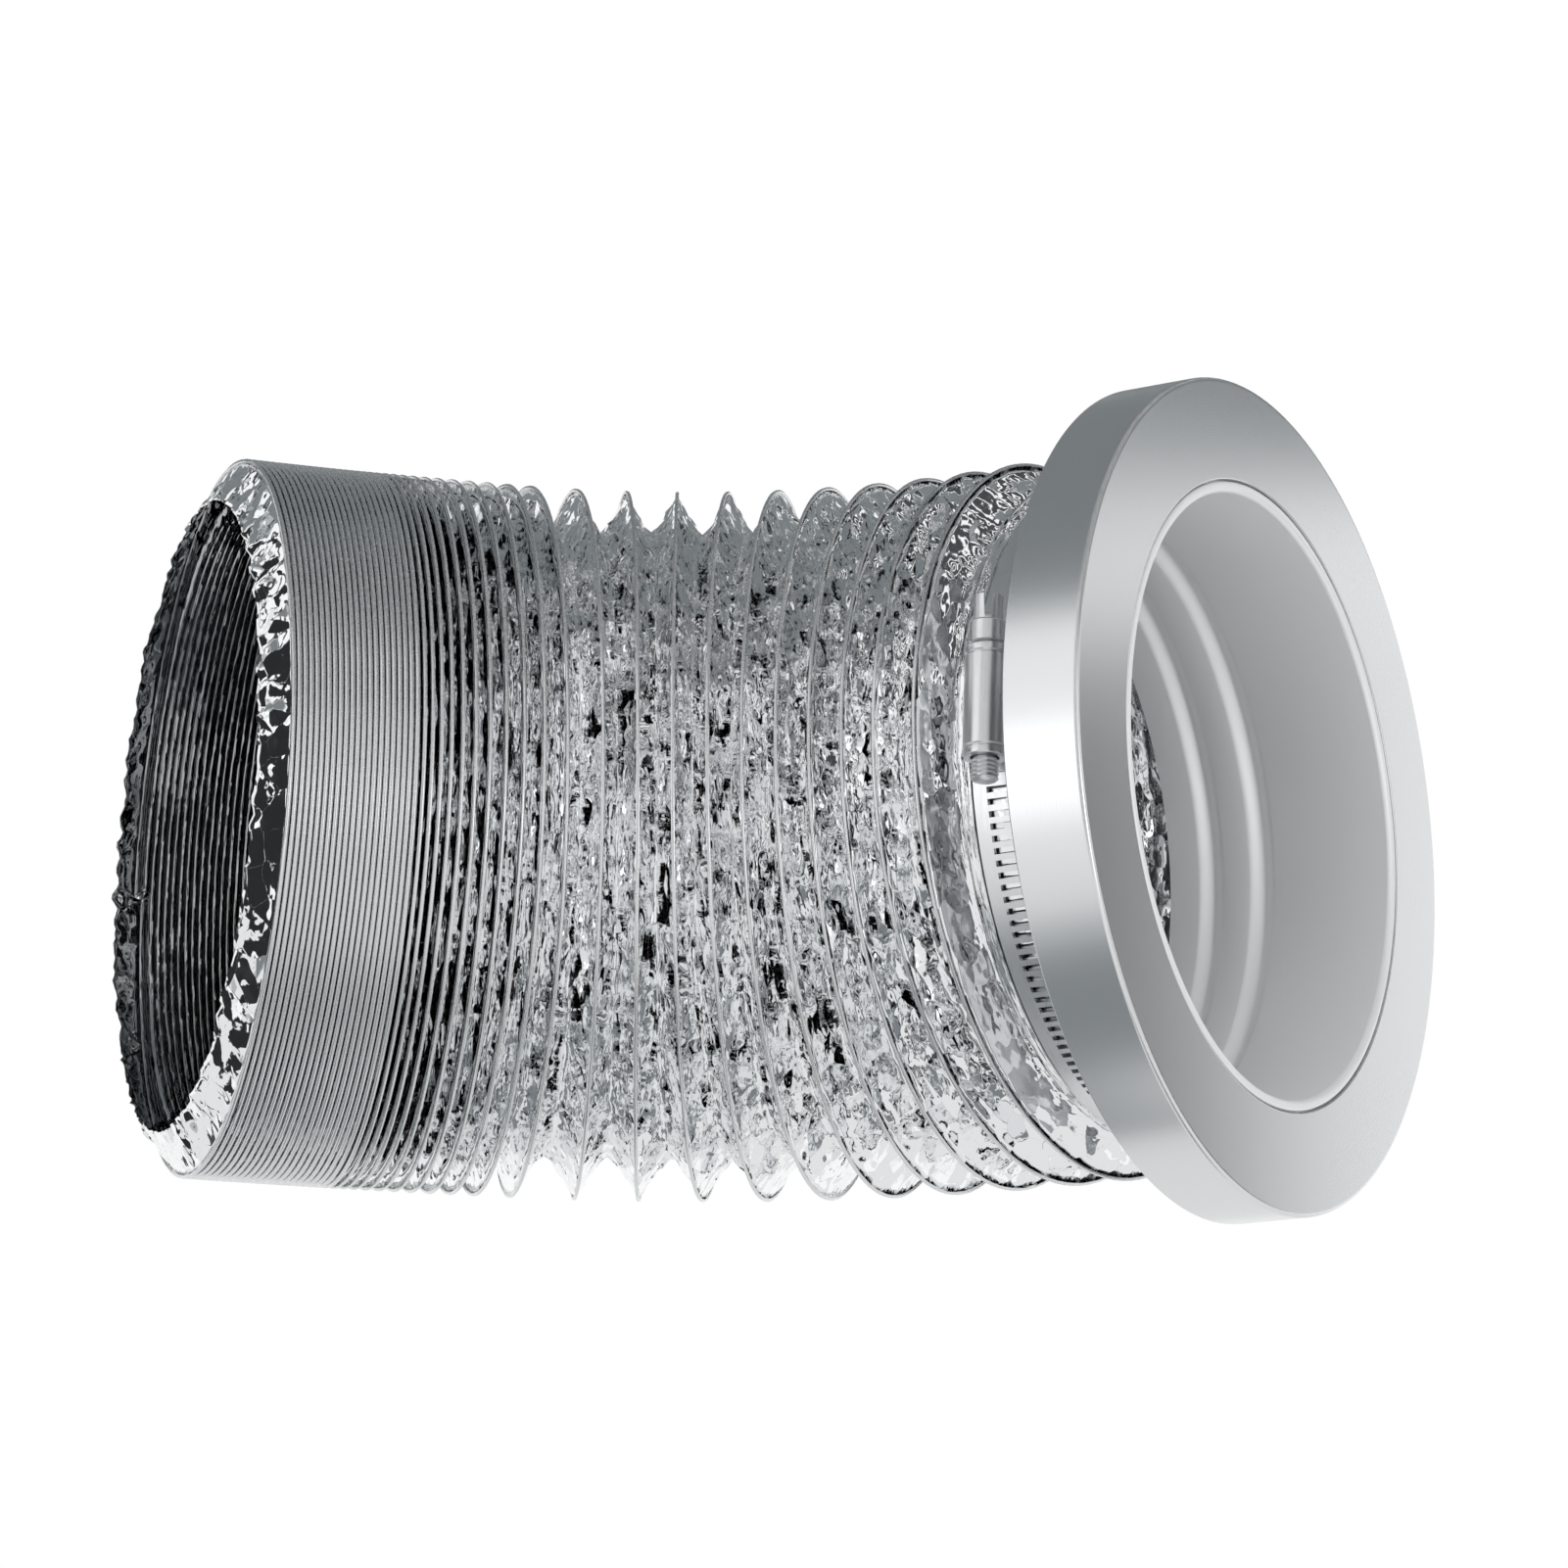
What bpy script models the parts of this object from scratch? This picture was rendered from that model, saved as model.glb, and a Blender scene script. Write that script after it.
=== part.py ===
"""Flexible foil duct on a wall flange, held by a worm clamp.

Units are metres and +Z is up. The origin is the centre of the flange's face, and +X points out of
that face. The duct leaves the flange along -X and bends towards -Y in the XY plane.
"""

import math

import bmesh
import bpy
from mathutils import Matrix, Vector

# Clearance between pieces that rest on each other
CLEARANCE = 0.0003

# Wall flange: a flat ring with a rim turned back at its edge
FLANGE_D = 0.1168
FLANGE_SHEET = 0.0010
RIM_DEPTH = 0.0110
RIM_EDGE_RADIUS = 0.0008

# Collar: a tube in the flange's hole with two rolled beads, as wide as the duct's bore lets it be
COLLAR_WALL = 0.0008
COLLAR_LENGTH = 0.0355
COLLAR_LIP = 0.0007
COLLAR_SHOULDER = 0.0020
COLLAR_SHOULDER_LENGTH = 0.0008
COLLAR_EDGE = 0.0006
BEAD_HEIGHT = 0.0013
BEAD_WIDTH = 0.0043
BEAD_PLACES = (0.0206, 0.0288)

# Foil cuff on the collar, and the clamp band round it
CUFF_START = 0.0090
CUFF_WALL = 0.0005
BAND_WIDTH = 0.0090
BAND_THICKNESS = 0.0007
BAND_CENTRE = 0.0175
BAND_GAP_ANGLE = 4.0
SLOT_LENGTH = 0.0050
SLOT_HEIGHT = 0.00075
SLOT_PITCH = 0.00165
SLOT_COUNT = 32
SLOT_FIRST_ANGLE = -10.0

# Worm screw and its housing, at an angle from the -Y side towards +Z
SCREW_ANGLE = 3.0
SADDLE_THICKNESS = 0.0006
SADDLE_WIDTH = 0.0076
SADDLE_ANGLE = 20.0
HOUSING_D = 0.0060
HOUSING_BORE_D = 0.0039
HOUSING_LENGTH = 0.0155
SCREW_SHAFT_D = 0.0032
SCREW_HEAD_D = 0.0040
SCREW_HEAD_LENGTH = 0.0070
SCREW_SLOT_WIDTH = 0.0008
SCREW_SLOT_DEPTH = 0.0030
THREAD_LENGTH = 0.0030
THREAD_HEIGHT = 0.0002
THREAD_RIDGES = 4

# Foil duct: outer size over the wire, fold depth and length along the centre line
DUCT_D = 0.1020
RIB_WIRE_D = 0.0008
FOLD_DEPTH = 0.0041
FOIL_WALL = 0.0006
MOUTH_EDGE_INSET = 0.0050
MOUTH_CONE_LENGTH = 0.0043

# Ribs along the centre line: a lead-in, open folds, closing folds and packed folds
LEAD_IN_START = 0.0007
LEAD_IN_LENGTH = 0.0024
LEAD_OUT_LENGTH = 0.0025
OPEN_PITCH = 0.0085
OPEN_TURNS = 10
CLOSING_PITCH = 0.0040
CLOSING_RATIO = 0.885
CLOSING_TURNS = 9
PACKED_PITCH = 0.00142
PACKED_TURNS = 14

# Bend of the centre line: straight, then an arc, then a gentler arc to the mouth
BEND_START = 0.0315
BEND_LENGTH = 0.0811
BEND_ANGLE = 41.5
TAIL_LENGTH = 0.0440
TAIL_ANGLE = 6.9

# The duct is parted between ribs where it bends sideways, bends up and stretches
SIDE_BEND_TURNS = 6
UP_BEND_TURNS = 11
STRETCH_TURNS = 20.5

# Facets
DUCT_SEGMENTS = 22
WIRE_SIDES = 3
BORE_ROWS = 12
FLANGE_SEGMENTS = 48
CLAMP_SEGMENTS = 20

# Worked out from the sizes above
FLANGE_R = FLANGE_D / 2
WIRE_R = DUCT_D / 2 - RIB_WIRE_D / 2
CREST_R = WIRE_R - RIB_WIRE_D / 2 - CLEARANCE
VALLEY_R = CREST_R - FOLD_DEPTH
BORE_R = VALLEY_R - FOIL_WALL
MOUTH_EDGE_R = CREST_R - MOUTH_EDGE_INSET
CUFF_R = BORE_R
CUFF_INNER_R = CUFF_R - CUFF_WALL
BEAD_R = CUFF_INNER_R - CLEARANCE
COLLAR_R = BEAD_R - BEAD_HEIGHT
COLLAR_BORE_R = COLLAR_R - COLLAR_WALL
LIP_R = COLLAR_R + COLLAR_LIP
BAND_INNER_R = CUFF_R + CLEARANCE
BAND_R = BAND_INNER_R + BAND_THICKNESS
BAND_START = BAND_CENTRE - BAND_WIDTH / 2
BAND_END = BAND_CENTRE + BAND_WIDTH / 2
SADDLE_INNER_R = BAND_R + CLEARANCE
SADDLE_R = SADDLE_INNER_R + SADDLE_THICKNESS
SCREW_AXIS_R = SADDLE_R + CLEARANCE + HOUSING_D / 2
CUFF_END = BAND_END + CLEARANCE
FOIL_START = CUFF_END + CLEARANCE
TAIL_START = BEND_START + BEND_LENGTH
LEAD_IN_TURNS = 1.0
HALF_TURN = 0.5
PACKED_START_TURN = LEAD_IN_TURNS + HALF_TURN + OPEN_TURNS + CLOSING_TURNS
LAST_TURN = PACKED_START_TURN + PACKED_TURNS + HALF_TURN

ALUMINIUM = (0.78, 0.79, 0.80)
FOIL_SILVER = (0.82, 0.83, 0.84)
STEEL = (0.70, 0.71, 0.72)
BRIGHT_STEEL = (0.76, 0.77, 0.78)


def clear_scene():
    """Remove every object, so that the part is alone in the scene."""
    for item in list(bpy.data.objects):
        bpy.data.objects.remove(item, do_unlink=True)


def metal(name, colour, roughness):
    """Return a plain metal finish."""
    finish = bpy.data.materials.new(name)
    finish.use_nodes = True
    shader = finish.node_tree.nodes["Principled BSDF"]
    shader.inputs["Base Color"].default_value = (*colour, 1.0)
    shader.inputs["Metallic"].default_value = 1.0
    shader.inputs["Roughness"].default_value = roughness
    return finish


def add_object(name, bm, finish):
    """Turn a bmesh into a named object with its faces pointing outwards."""
    bmesh.ops.recalc_face_normals(bm, faces=bm.faces)
    mesh = bpy.data.meshes.new(name)
    bm.to_mesh(mesh)
    bm.free()
    mesh.shade_smooth()
    mesh.set_sharp_from_angle(angle=math.radians(35))
    mesh.materials.append(finish)
    item = bpy.data.objects.new(name, mesh)
    bpy.context.scene.collection.objects.link(item)
    return item


def as_cutter(item):
    """Keep an object as a guide only."""
    item.hide_render = True
    item.display_type = "WIRE"
    return item


def cut(item, cutter):
    """Take the cutter's shape out of an object."""
    modifier = item.modifiers.new("cut", "BOOLEAN")
    modifier.operation = "DIFFERENCE"
    modifier.solver = "EXACT"
    modifier.object = cutter


def heading(s):
    """Return the turn of the centre line, in radians, at a length from the flange's face."""
    bend = min(max(s - BEND_START, 0.0), BEND_LENGTH) / BEND_LENGTH
    tail = max(s - TAIL_START, 0.0) / TAIL_LENGTH
    return math.radians(BEND_ANGLE * bend + TAIL_ANGLE * tail)


def along_arc(start, turn, length, angle):
    """Return the end of an arc that leaves start at the given turn."""
    if abs(angle) < 1e-9:
        return start + Vector((-math.cos(turn), -math.sin(turn), 0)) * length
    radius = length / angle
    across = math.sin(turn + angle) - math.sin(turn)
    down = math.cos(turn) - math.cos(turn + angle)
    return start + Vector((-across, -down, 0)) * radius


def bent_centre(s):
    """Return the point of the duct's centre line at a length from the flange's face."""
    point = Vector((-min(s, BEND_START), 0, 0))
    if s > BEND_START:
        length = min(s - BEND_START, BEND_LENGTH)
        point = along_arc(point, 0.0, length, heading(BEND_START + length))
    if s > TAIL_START:
        turn = heading(TAIL_START)
        point = along_arc(point, turn, s - TAIL_START, heading(s) - turn)
    return point


def bent_point(s, r, angle):
    """Return a point of the duct at a length, a radius and an angle from its inner side upwards."""
    turn = heading(s)
    inner_side = Vector((math.sin(turn), -math.cos(turn), 0))
    return bent_centre(s) + inner_side * (r * math.cos(angle)) + Vector((0, 0, r * math.sin(angle)))


def straight_point(s, r, angle):
    """Return a point round the flange's axis at a depth, a radius and an angle from -Y upwards."""
    return Vector((-s, -r * math.cos(angle), r * math.sin(angle)))


def turned(name, outline, segments, finish, place=straight_point, span=None):
    """Turn a closed outline of (length, radius) points round an axis, all the way or over a span.

    The span is a first and a last angle in degrees, and its two ends are closed.
    """
    first, last = span or (0.0, 360.0)
    columns = segments + 1 if span else segments
    bm = bmesh.new()
    rings = []
    for column in range(columns):
        angle = math.radians(first + (last - first) * column / segments)
        rings.append([bm.verts.new(place(s, r, angle)) for s, r in outline])
    pairs = list(zip(rings, rings[1:]))
    if span:
        bm.faces.new(rings[0])
        bm.faces.new(rings[-1])
    else:
        pairs.append((rings[-1], rings[0]))
    count = len(outline)
    for near, far in pairs:
        for i in range(count):
            j = (i + 1) % count
            bm.faces.new((near[i], near[j], far[j], far[i]))
    return add_object(name, bm, finish)


def turned_on_axis(name, outline, segments, finish, axes):
    """Turn a closed outline of (height, radius) points round the Z axis of a placing matrix."""

    def place(h, r, angle):
        return axes @ Vector((r * math.cos(angle), r * math.sin(angle), h))

    return turned(name, outline, segments, finish, place)


def solid_on_axis(name, outline, segments, finish, axes):
    """Turn an open outline of (height, radius) points into a solid with flat ends."""
    bm = bmesh.new()
    rows = []
    for h, r in outline:
        angles = [2 * math.pi * i / segments for i in range(segments)]
        rows.append([bm.verts.new(axes @ Vector((r * math.cos(a), r * math.sin(a), h))) for a in angles])
    for low, high in zip(rows, rows[1:]):
        for i in range(segments):
            j = (i + 1) % segments
            bm.faces.new((low[i], low[j], high[j], high[i]))
    bm.faces.new(rows[0])
    bm.faces.new(rows[-1])
    return add_object(name, bm, finish)


def box(name, size, place, finish):
    """Add a box of a size, centred on a placing matrix."""
    bm = bmesh.new()
    bmesh.ops.create_cube(bm, size=1.0, matrix=place @ Matrix.Diagonal((*size, 1.0)))
    return add_object(name, bm, finish)


def make_flange(finish):
    """Make the flat ring with its turned-back rim."""
    hole_r = LIP_R + CLEARANCE
    inner_rim = FLANGE_R - FLANGE_SHEET
    edge = RIM_EDGE_RADIUS
    corner = [(edge * (1 - math.sin(a)), FLANGE_R - edge * (1 - math.cos(a)))
              for a in (math.radians(90), math.radians(60), math.radians(30), 0.0)]
    outline = [(0.0, hole_r), *corner, (RIM_DEPTH, FLANGE_R), (RIM_DEPTH, inner_rim),
               (FLANGE_SHEET, inner_rim), (FLANGE_SHEET, hole_r)]
    return turned("flange_plate", outline, FLANGE_SEGMENTS, finish)


def bead_outline(centre, radius, height):
    """Return the points of one rolled bead on a wall of a radius."""
    shape = ((-0.5, 0.0), (-0.27, 0.75), (0.0, 1.0), (0.27, 0.75), (0.5, 0.0))
    return [(centre + BEAD_WIDTH * along, radius + height * up) for along, up in shape]


def make_collar(finish):
    """Make the collar with its lip, its shoulder behind the flange plate and its two beads."""
    seat = FLANGE_SHEET + CLEARANCE
    shoulder_r = COLLAR_R + COLLAR_SHOULDER
    outer = [(0.0, LIP_R), (seat, LIP_R), (seat, shoulder_r),
             (seat + COLLAR_SHOULDER_LENGTH, shoulder_r), (seat + COLLAR_SHOULDER_LENGTH, COLLAR_R)]
    inner = []
    for centre in BEAD_PLACES:
        outer += bead_outline(centre, COLLAR_R, BEAD_HEIGHT)
        inner += bead_outline(centre, COLLAR_BORE_R, BEAD_HEIGHT)
    ends = [(COLLAR_LENGTH, COLLAR_R), (COLLAR_LENGTH, COLLAR_BORE_R)]
    mouth = [(COLLAR_EDGE, COLLAR_BORE_R), (0.0, COLLAR_BORE_R + COLLAR_EDGE)]
    return turned("collar", outer + ends + inner[::-1] + mouth, FLANGE_SEGMENTS, finish)


def make_cuff(finish):
    """Make the plain end of the foil that lies on the collar."""
    outline = [(CUFF_START, CUFF_INNER_R), (CUFF_START, CUFF_R), (CUFF_END, CUFF_R), (CUFF_END, CUFF_INNER_R)]
    return turned("cuff_foil", outline, FLANGE_SEGMENTS, finish)


def make_band(finish):
    """Make the slotted strip, whose two ends meet under the screw."""
    outline = [(BAND_START, BAND_INNER_R), (BAND_START, BAND_R), (BAND_END, BAND_R), (BAND_END, BAND_INNER_R)]
    span = (SCREW_ANGLE + BAND_GAP_ANGLE / 2, SCREW_ANGLE + 360 - BAND_GAP_ANGLE / 2)
    band = turned("clamp_band", outline, FLANGE_SEGMENTS, finish, span=span)
    bm = bmesh.new()
    step = SLOT_PITCH / BAND_R
    size = (SLOT_LENGTH, 4 * BAND_THICKNESS, SLOT_HEIGHT)
    for i in range(SLOT_COUNT):
        angle = math.radians(SLOT_FIRST_ANGLE) - step * i
        place = Matrix.Translation(straight_point(BAND_CENTRE, BAND_R, angle))
        turn = Matrix.Rotation(-angle, 4, "X")
        bmesh.ops.create_cube(bm, size=1.0, matrix=place @ turn @ Matrix.Diagonal((*size, 1.0)))
    cut(band, as_cutter(add_object("band_slots", bm, finish)))
    return band


def screw_axes():
    """Return the placing of the worm screw: Z along the screw, Y out from the duct."""
    angle = math.radians(SCREW_ANGLE)
    out = Vector((0, -math.cos(angle), math.sin(angle)))
    up = Vector((0, math.sin(angle), math.cos(angle)))
    side = out.cross(up)
    axes = Matrix((side, out, up)).transposed().to_4x4()
    axes.translation = straight_point(BAND_CENTRE, SCREW_AXIS_R, angle)
    return axes


def make_housing(finish, saddle_finish):
    """Make the saddle on the band and the tube that holds the screw."""
    half = SADDLE_WIDTH / 2
    outline = [(BAND_CENTRE - half, SADDLE_INNER_R), (BAND_CENTRE - half, SADDLE_R),
               (BAND_CENTRE + half, SADDLE_R), (BAND_CENTRE + half, SADDLE_INNER_R)]
    span = (SCREW_ANGLE - SADDLE_ANGLE / 2, SCREW_ANGLE + SADDLE_ANGLE / 2)
    turned("clamp_saddle", outline, CLAMP_SEGMENTS // 2, saddle_finish, span=span)
    top = HOUSING_LENGTH / 2
    outline = [(-top, HOUSING_BORE_D / 2), (-top, HOUSING_D / 2), (top, HOUSING_D / 2), (top, HOUSING_BORE_D / 2)]
    turned_on_axis("clamp_housing", outline, CLAMP_SEGMENTS, finish, screw_axes())


def make_screw(finish):
    """Make the worm screw with its slotted head and its threaded end."""
    top = HOUSING_LENGTH / 2 + CLEARANCE
    shaft_r = SCREW_SHAFT_D / 2
    head_r = SCREW_HEAD_D / 2
    pitch = THREAD_LENGTH / THREAD_RIDGES
    ridges = []
    for i in range(THREAD_RIDGES):
        low = -top - THREAD_LENGTH + pitch * i
        ridges += [(low, shaft_r - THREAD_HEIGHT), (low + pitch / 2, shaft_r)]
    outline = [*ridges, (-top, shaft_r - THREAD_HEIGHT), (-top + pitch, shaft_r), (top, shaft_r),
               (top, head_r), (top + SCREW_HEAD_LENGTH, head_r)]
    axes = screw_axes()
    screw = solid_on_axis("clamp_screw", outline, CLAMP_SEGMENTS, finish, axes)
    deep = SCREW_SLOT_DEPTH
    place = axes @ Matrix.Translation((0, 0, top + SCREW_HEAD_LENGTH))
    size = (SCREW_SLOT_WIDTH, 2 * SCREW_HEAD_D, 2 * deep)
    cut(screw, as_cutter(box("screw_slot", size, place, finish)))
    origin = axes.translation
    screw.data.transform(Matrix.Translation(-origin))
    screw.location = origin


def closing_length(turns):
    """Return the length that a number of closing folds takes."""
    whole = int(turns)
    done = CLOSING_PITCH * (1 - CLOSING_RATIO ** whole) / (1 - CLOSING_RATIO)
    return done + (turns - whole) * CLOSING_PITCH * CLOSING_RATIO ** whole


def rib_place(turn):
    """Return the length along the centre line of the rib at a number of turns."""
    first = FOIL_START + LEAD_IN_START
    if turn < LEAD_IN_TURNS:
        return first + LEAD_IN_LENGTH * turn
    first += LEAD_IN_LENGTH
    after = turn - LEAD_IN_TURNS
    if after < HALF_TURN:
        return first + LEAD_OUT_LENGTH * after / HALF_TURN
    first += LEAD_OUT_LENGTH
    after -= HALF_TURN
    if after < OPEN_TURNS:
        return first + OPEN_PITCH * after
    first += OPEN_PITCH * OPEN_TURNS
    after -= OPEN_TURNS
    if after < CLOSING_TURNS:
        return first + closing_length(after)
    return first + closing_length(CLOSING_TURNS) + PACKED_PITCH * (after - CLOSING_TURNS)


def rib_angle(turn):
    """Return the angle round the duct at a number of turns, which start on the far side."""
    return math.pi + 2 * math.pi * turn


def crest_radius(turn):
    """Return the foil's outer radius at a rib, which fades in at the cuff and out at the mouth."""
    fade_in = min(turn / LEAD_IN_TURNS, 1.0)
    fade_out = max(turn - (LAST_TURN - 1.0), 0.0)
    return VALLEY_R + FOLD_DEPTH * fade_in - FOLD_DEPTH / 2 * fade_out


def make_whole_foil(finish):
    """Make the whole pleated foil: folds that run as a helix outside, and a plain bore inside."""
    steps = DUCT_SEGMENTS
    last = round(LAST_TURN * steps)
    bm = bmesh.new()
    crest = []
    valley = []
    for n in range(last + 1):
        turn = n / steps
        crest.append(bm.verts.new(bent_point(rib_place(turn), crest_radius(turn), rib_angle(turn))))
    for n in range(last + 1 - steps):
        turn = n / steps
        middle = (rib_place(turn) + rib_place(turn + 1)) / 2
        valley.append(bm.verts.new(bent_point(middle, VALLEY_R, rib_angle(turn))))
    for n in range(last - steps):
        bm.faces.new((crest[n], crest[n + 1], valley[n + 1], valley[n]))
        bm.faces.new((valley[n], valley[n + 1], crest[n + steps + 1], crest[n + steps]))

    def ring(s, r):
        angles = [rib_angle(i / steps) for i in range(steps)]
        return [bm.verts.new(bent_point(s, r, angle)) for angle in angles]

    mouth = rib_place(LAST_TURN) + MOUTH_CONE_LENGTH
    start_ring = ring(FOIL_START, VALLEY_R)
    end_ring = ring(mouth, MOUTH_EDGE_R)
    for i in range(steps):
        j = (i + 1) % steps
        bm.faces.new((start_ring[i], start_ring[j], crest[i + 1], crest[i]))
        base = last - steps + i
        bm.faces.new((crest[base], crest[base + 1], end_ring[j], end_ring[i]))
    bm.faces.new((start_ring[0], crest[0], valley[0], crest[steps]))
    bm.faces.new((crest[last - steps], valley[-1], crest[last], end_ring[0]))
    bore_end = rib_place(LAST_TURN)
    places = [FOIL_START + (bore_end - FOIL_START) * i / (BORE_ROWS - 1) for i in range(BORE_ROWS)]
    rows = [start_ring, *[ring(s, BORE_R) for s in places], ring(mouth, MOUTH_EDGE_R - FOIL_WALL), end_ring]
    for near, far in zip(rows, rows[1:]):
        for i in range(steps):
            j = (i + 1) % steps
            bm.faces.new((near[i], near[j], far[j], far[i]))
    return as_cutter(add_object("whole_foil", bm, finish))


def make_whole_wire(finish):
    """Make the whole rib wire as one unbroken tube, and print its least gap to itself."""
    steps = DUCT_SEGMENTS
    first = round(LEAD_IN_TURNS * steps)
    last = round(LAST_TURN * steps)
    bm = bmesh.new()
    rings = []
    centres = []
    for n in range(first, last + 1):
        turn = n / steps
        s = rib_place(turn)
        angle = rib_angle(turn)
        centres.append(bent_point(s, WIRE_R, angle))
        sides = [2 * math.pi * i / WIRE_SIDES for i in range(WIRE_SIDES)]
        half = RIB_WIRE_D / 2
        rings.append([bm.verts.new(bent_point(s + half * math.sin(a), WIRE_R + half * math.cos(a), angle))
                      for a in sides])
    for near, far in zip(rings, rings[1:]):
        for i in range(WIRE_SIDES):
            j = (i + 1) % WIRE_SIDES
            bm.faces.new((near[i], near[j], far[j], far[i]))
    bm.faces.new(rings[0])
    bm.faces.new(rings[-1])
    gaps = [(centres[i + steps] - centres[i]).length - RIB_WIRE_D for i in range(len(centres) - steps)]
    print(f"least gap of the rib wire to itself: {min(gaps) * 1000:.2f} mm")
    return as_cutter(add_object("whole_wire", bm, finish))


def end_block(name, s, ahead, finish):
    """Make a block that covers all of the duct before or after a place on its centre line."""
    turn = heading(s)
    along = Vector((-math.cos(turn), -math.sin(turn), 0))
    inner_side = Vector((math.sin(turn), -math.cos(turn), 0))
    axes = Matrix((along, inner_side, Vector((0, 0, 1)))).transposed().to_4x4()
    reach = 4 * DUCT_D
    offset = reach / 2 if ahead else -reach / 2
    axes.translation = bent_centre(s) + along * offset
    return as_cutter(box(name, (reach, reach, reach), axes, finish))


def make_sections(foil_finish, wire_finish):
    """Part the foil and the wire into the stretches that bend, stretch or stay packed."""
    foil = make_whole_foil(foil_finish)
    wire = make_whole_wire(wire_finish)
    names = ("side_bend", "up_bend", "stretch", "packed")
    joints = [rib_place(turns) for turns in (SIDE_BEND_TURNS, UP_BEND_TURNS, STRETCH_TURNS)]
    half_gap = CLEARANCE / 2
    for i, name in enumerate(names):
        blocks = []
        if i > 0:
            blocks.append(end_block(f"before_{name}", joints[i - 1] + half_gap, False, foil_finish))
        if i < len(joints):
            blocks.append(end_block(f"after_{name}", joints[i] - half_gap, True, foil_finish))
        for kind, whole in (("foil", foil), ("wire", wire)):
            piece = bpy.data.objects.new(f"{kind}_{name}", whole.data.copy())
            bpy.context.scene.collection.objects.link(piece)
            for block in blocks:
                cut(piece, block)


def main():
    """Build the whole part."""
    clear_scene()
    aluminium = metal("satin_aluminium", ALUMINIUM, 0.35)
    collar_aluminium = metal("collar_aluminium", ALUMINIUM, 0.40)
    foil = metal("foil", FOIL_SILVER, 0.15)
    wire = metal("rib_wire", STEEL, 0.30)
    clamp = metal("clamp_steel", BRIGHT_STEEL, 0.22)
    saddle = metal("saddle_steel", BRIGHT_STEEL, 0.30)
    screw = metal("screw_steel", BRIGHT_STEEL, 0.25)
    make_flange(aluminium)
    make_collar(collar_aluminium)
    make_cuff(foil)
    make_band(clamp)
    make_housing(clamp, saddle)
    make_screw(screw)
    make_sections(foil, wire)


main()
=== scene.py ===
"""Looks of a flexible foil duct on a wall flange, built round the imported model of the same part.

The frame is in metres with +Z up. The flange's face is the plane x = 0 and looks along +X. The duct
leaves it along -X and bends towards -Y. Lengths along the duct run on its centre line from that face.
"""

import logging
import math
from dataclasses import dataclass, field
from enum import Enum
from typing import Callable, Iterable, Optional

import bmesh
import bpy
from mathutils import Matrix, Vector, noise
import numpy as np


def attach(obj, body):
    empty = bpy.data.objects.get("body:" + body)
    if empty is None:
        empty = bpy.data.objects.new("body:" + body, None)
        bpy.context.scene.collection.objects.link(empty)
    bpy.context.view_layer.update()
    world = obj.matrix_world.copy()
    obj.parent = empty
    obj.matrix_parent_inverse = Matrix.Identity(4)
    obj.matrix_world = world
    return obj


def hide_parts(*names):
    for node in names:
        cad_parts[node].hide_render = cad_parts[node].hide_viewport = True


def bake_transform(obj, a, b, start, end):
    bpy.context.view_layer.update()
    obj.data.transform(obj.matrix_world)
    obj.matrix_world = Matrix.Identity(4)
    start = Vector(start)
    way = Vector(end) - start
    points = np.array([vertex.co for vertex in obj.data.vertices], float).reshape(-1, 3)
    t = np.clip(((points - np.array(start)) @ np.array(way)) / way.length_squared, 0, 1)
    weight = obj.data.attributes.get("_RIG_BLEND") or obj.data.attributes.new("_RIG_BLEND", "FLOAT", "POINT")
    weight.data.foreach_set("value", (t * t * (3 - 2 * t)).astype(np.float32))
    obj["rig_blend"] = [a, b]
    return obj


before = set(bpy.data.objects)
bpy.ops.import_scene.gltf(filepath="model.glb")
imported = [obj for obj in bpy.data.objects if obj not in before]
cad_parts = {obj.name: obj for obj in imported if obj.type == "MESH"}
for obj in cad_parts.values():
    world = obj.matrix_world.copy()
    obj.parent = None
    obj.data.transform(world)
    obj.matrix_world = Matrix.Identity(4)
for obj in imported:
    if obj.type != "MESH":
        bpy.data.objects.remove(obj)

LOG = logging.getLogger("duct_looks")
CLEARANCE = 0.0003  # gap between pieces that are fitted together
WELD = 1e-7  # distance under which two points of a turned piece are one
ALL_SMOOTH = 180.0  # crease angle at which no edge stays sharp
FULL_TURN = 2 * math.pi
WHITE = (1.0, 1.0, 1.0)
NOISE_MIDDLE = (0.5, 0.5, 0.5)  # mean colour of a noise
NOISE_REACH = (0.3, 0.7)  # values between which most of a noise lies

Colour = tuple[float, float, float]
Outline = list[tuple[float, float]]


class Stretch(Enum):
    """The four stretches of the duct between its joints, with the bodies that carry each one."""

    SIDE_BEND = ("side_bend", "flange", "elbow")
    UP_BEND = ("up_bend", "elbow", "neck")
    STRETCH = ("stretch", "neck", "mouth")
    PACKED = ("packed", "mouth", "mouth")

    @property
    def label(self) -> str:
        """Name of the stretch in the frame's nodes."""
        return self.value[0]

    @property
    def bodies(self) -> tuple[str, str]:
        """Bodies that carry the start and the end of the stretch."""
        return self.value[1:]


class Light(Enum):
    """Kinds of ray that see the white of the studio."""

    CAMERA = "Is Camera Ray"
    GLOSSY = "Is Glossy Ray"
    TRANSMISSION = "Is Transmission Ray"


def smooth_step(value: float) -> float:
    """Ease a value from 0 to 1."""
    x = min(max(value, 0.0), 1.0)
    return x * x * (3 - 2 * x)


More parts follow.
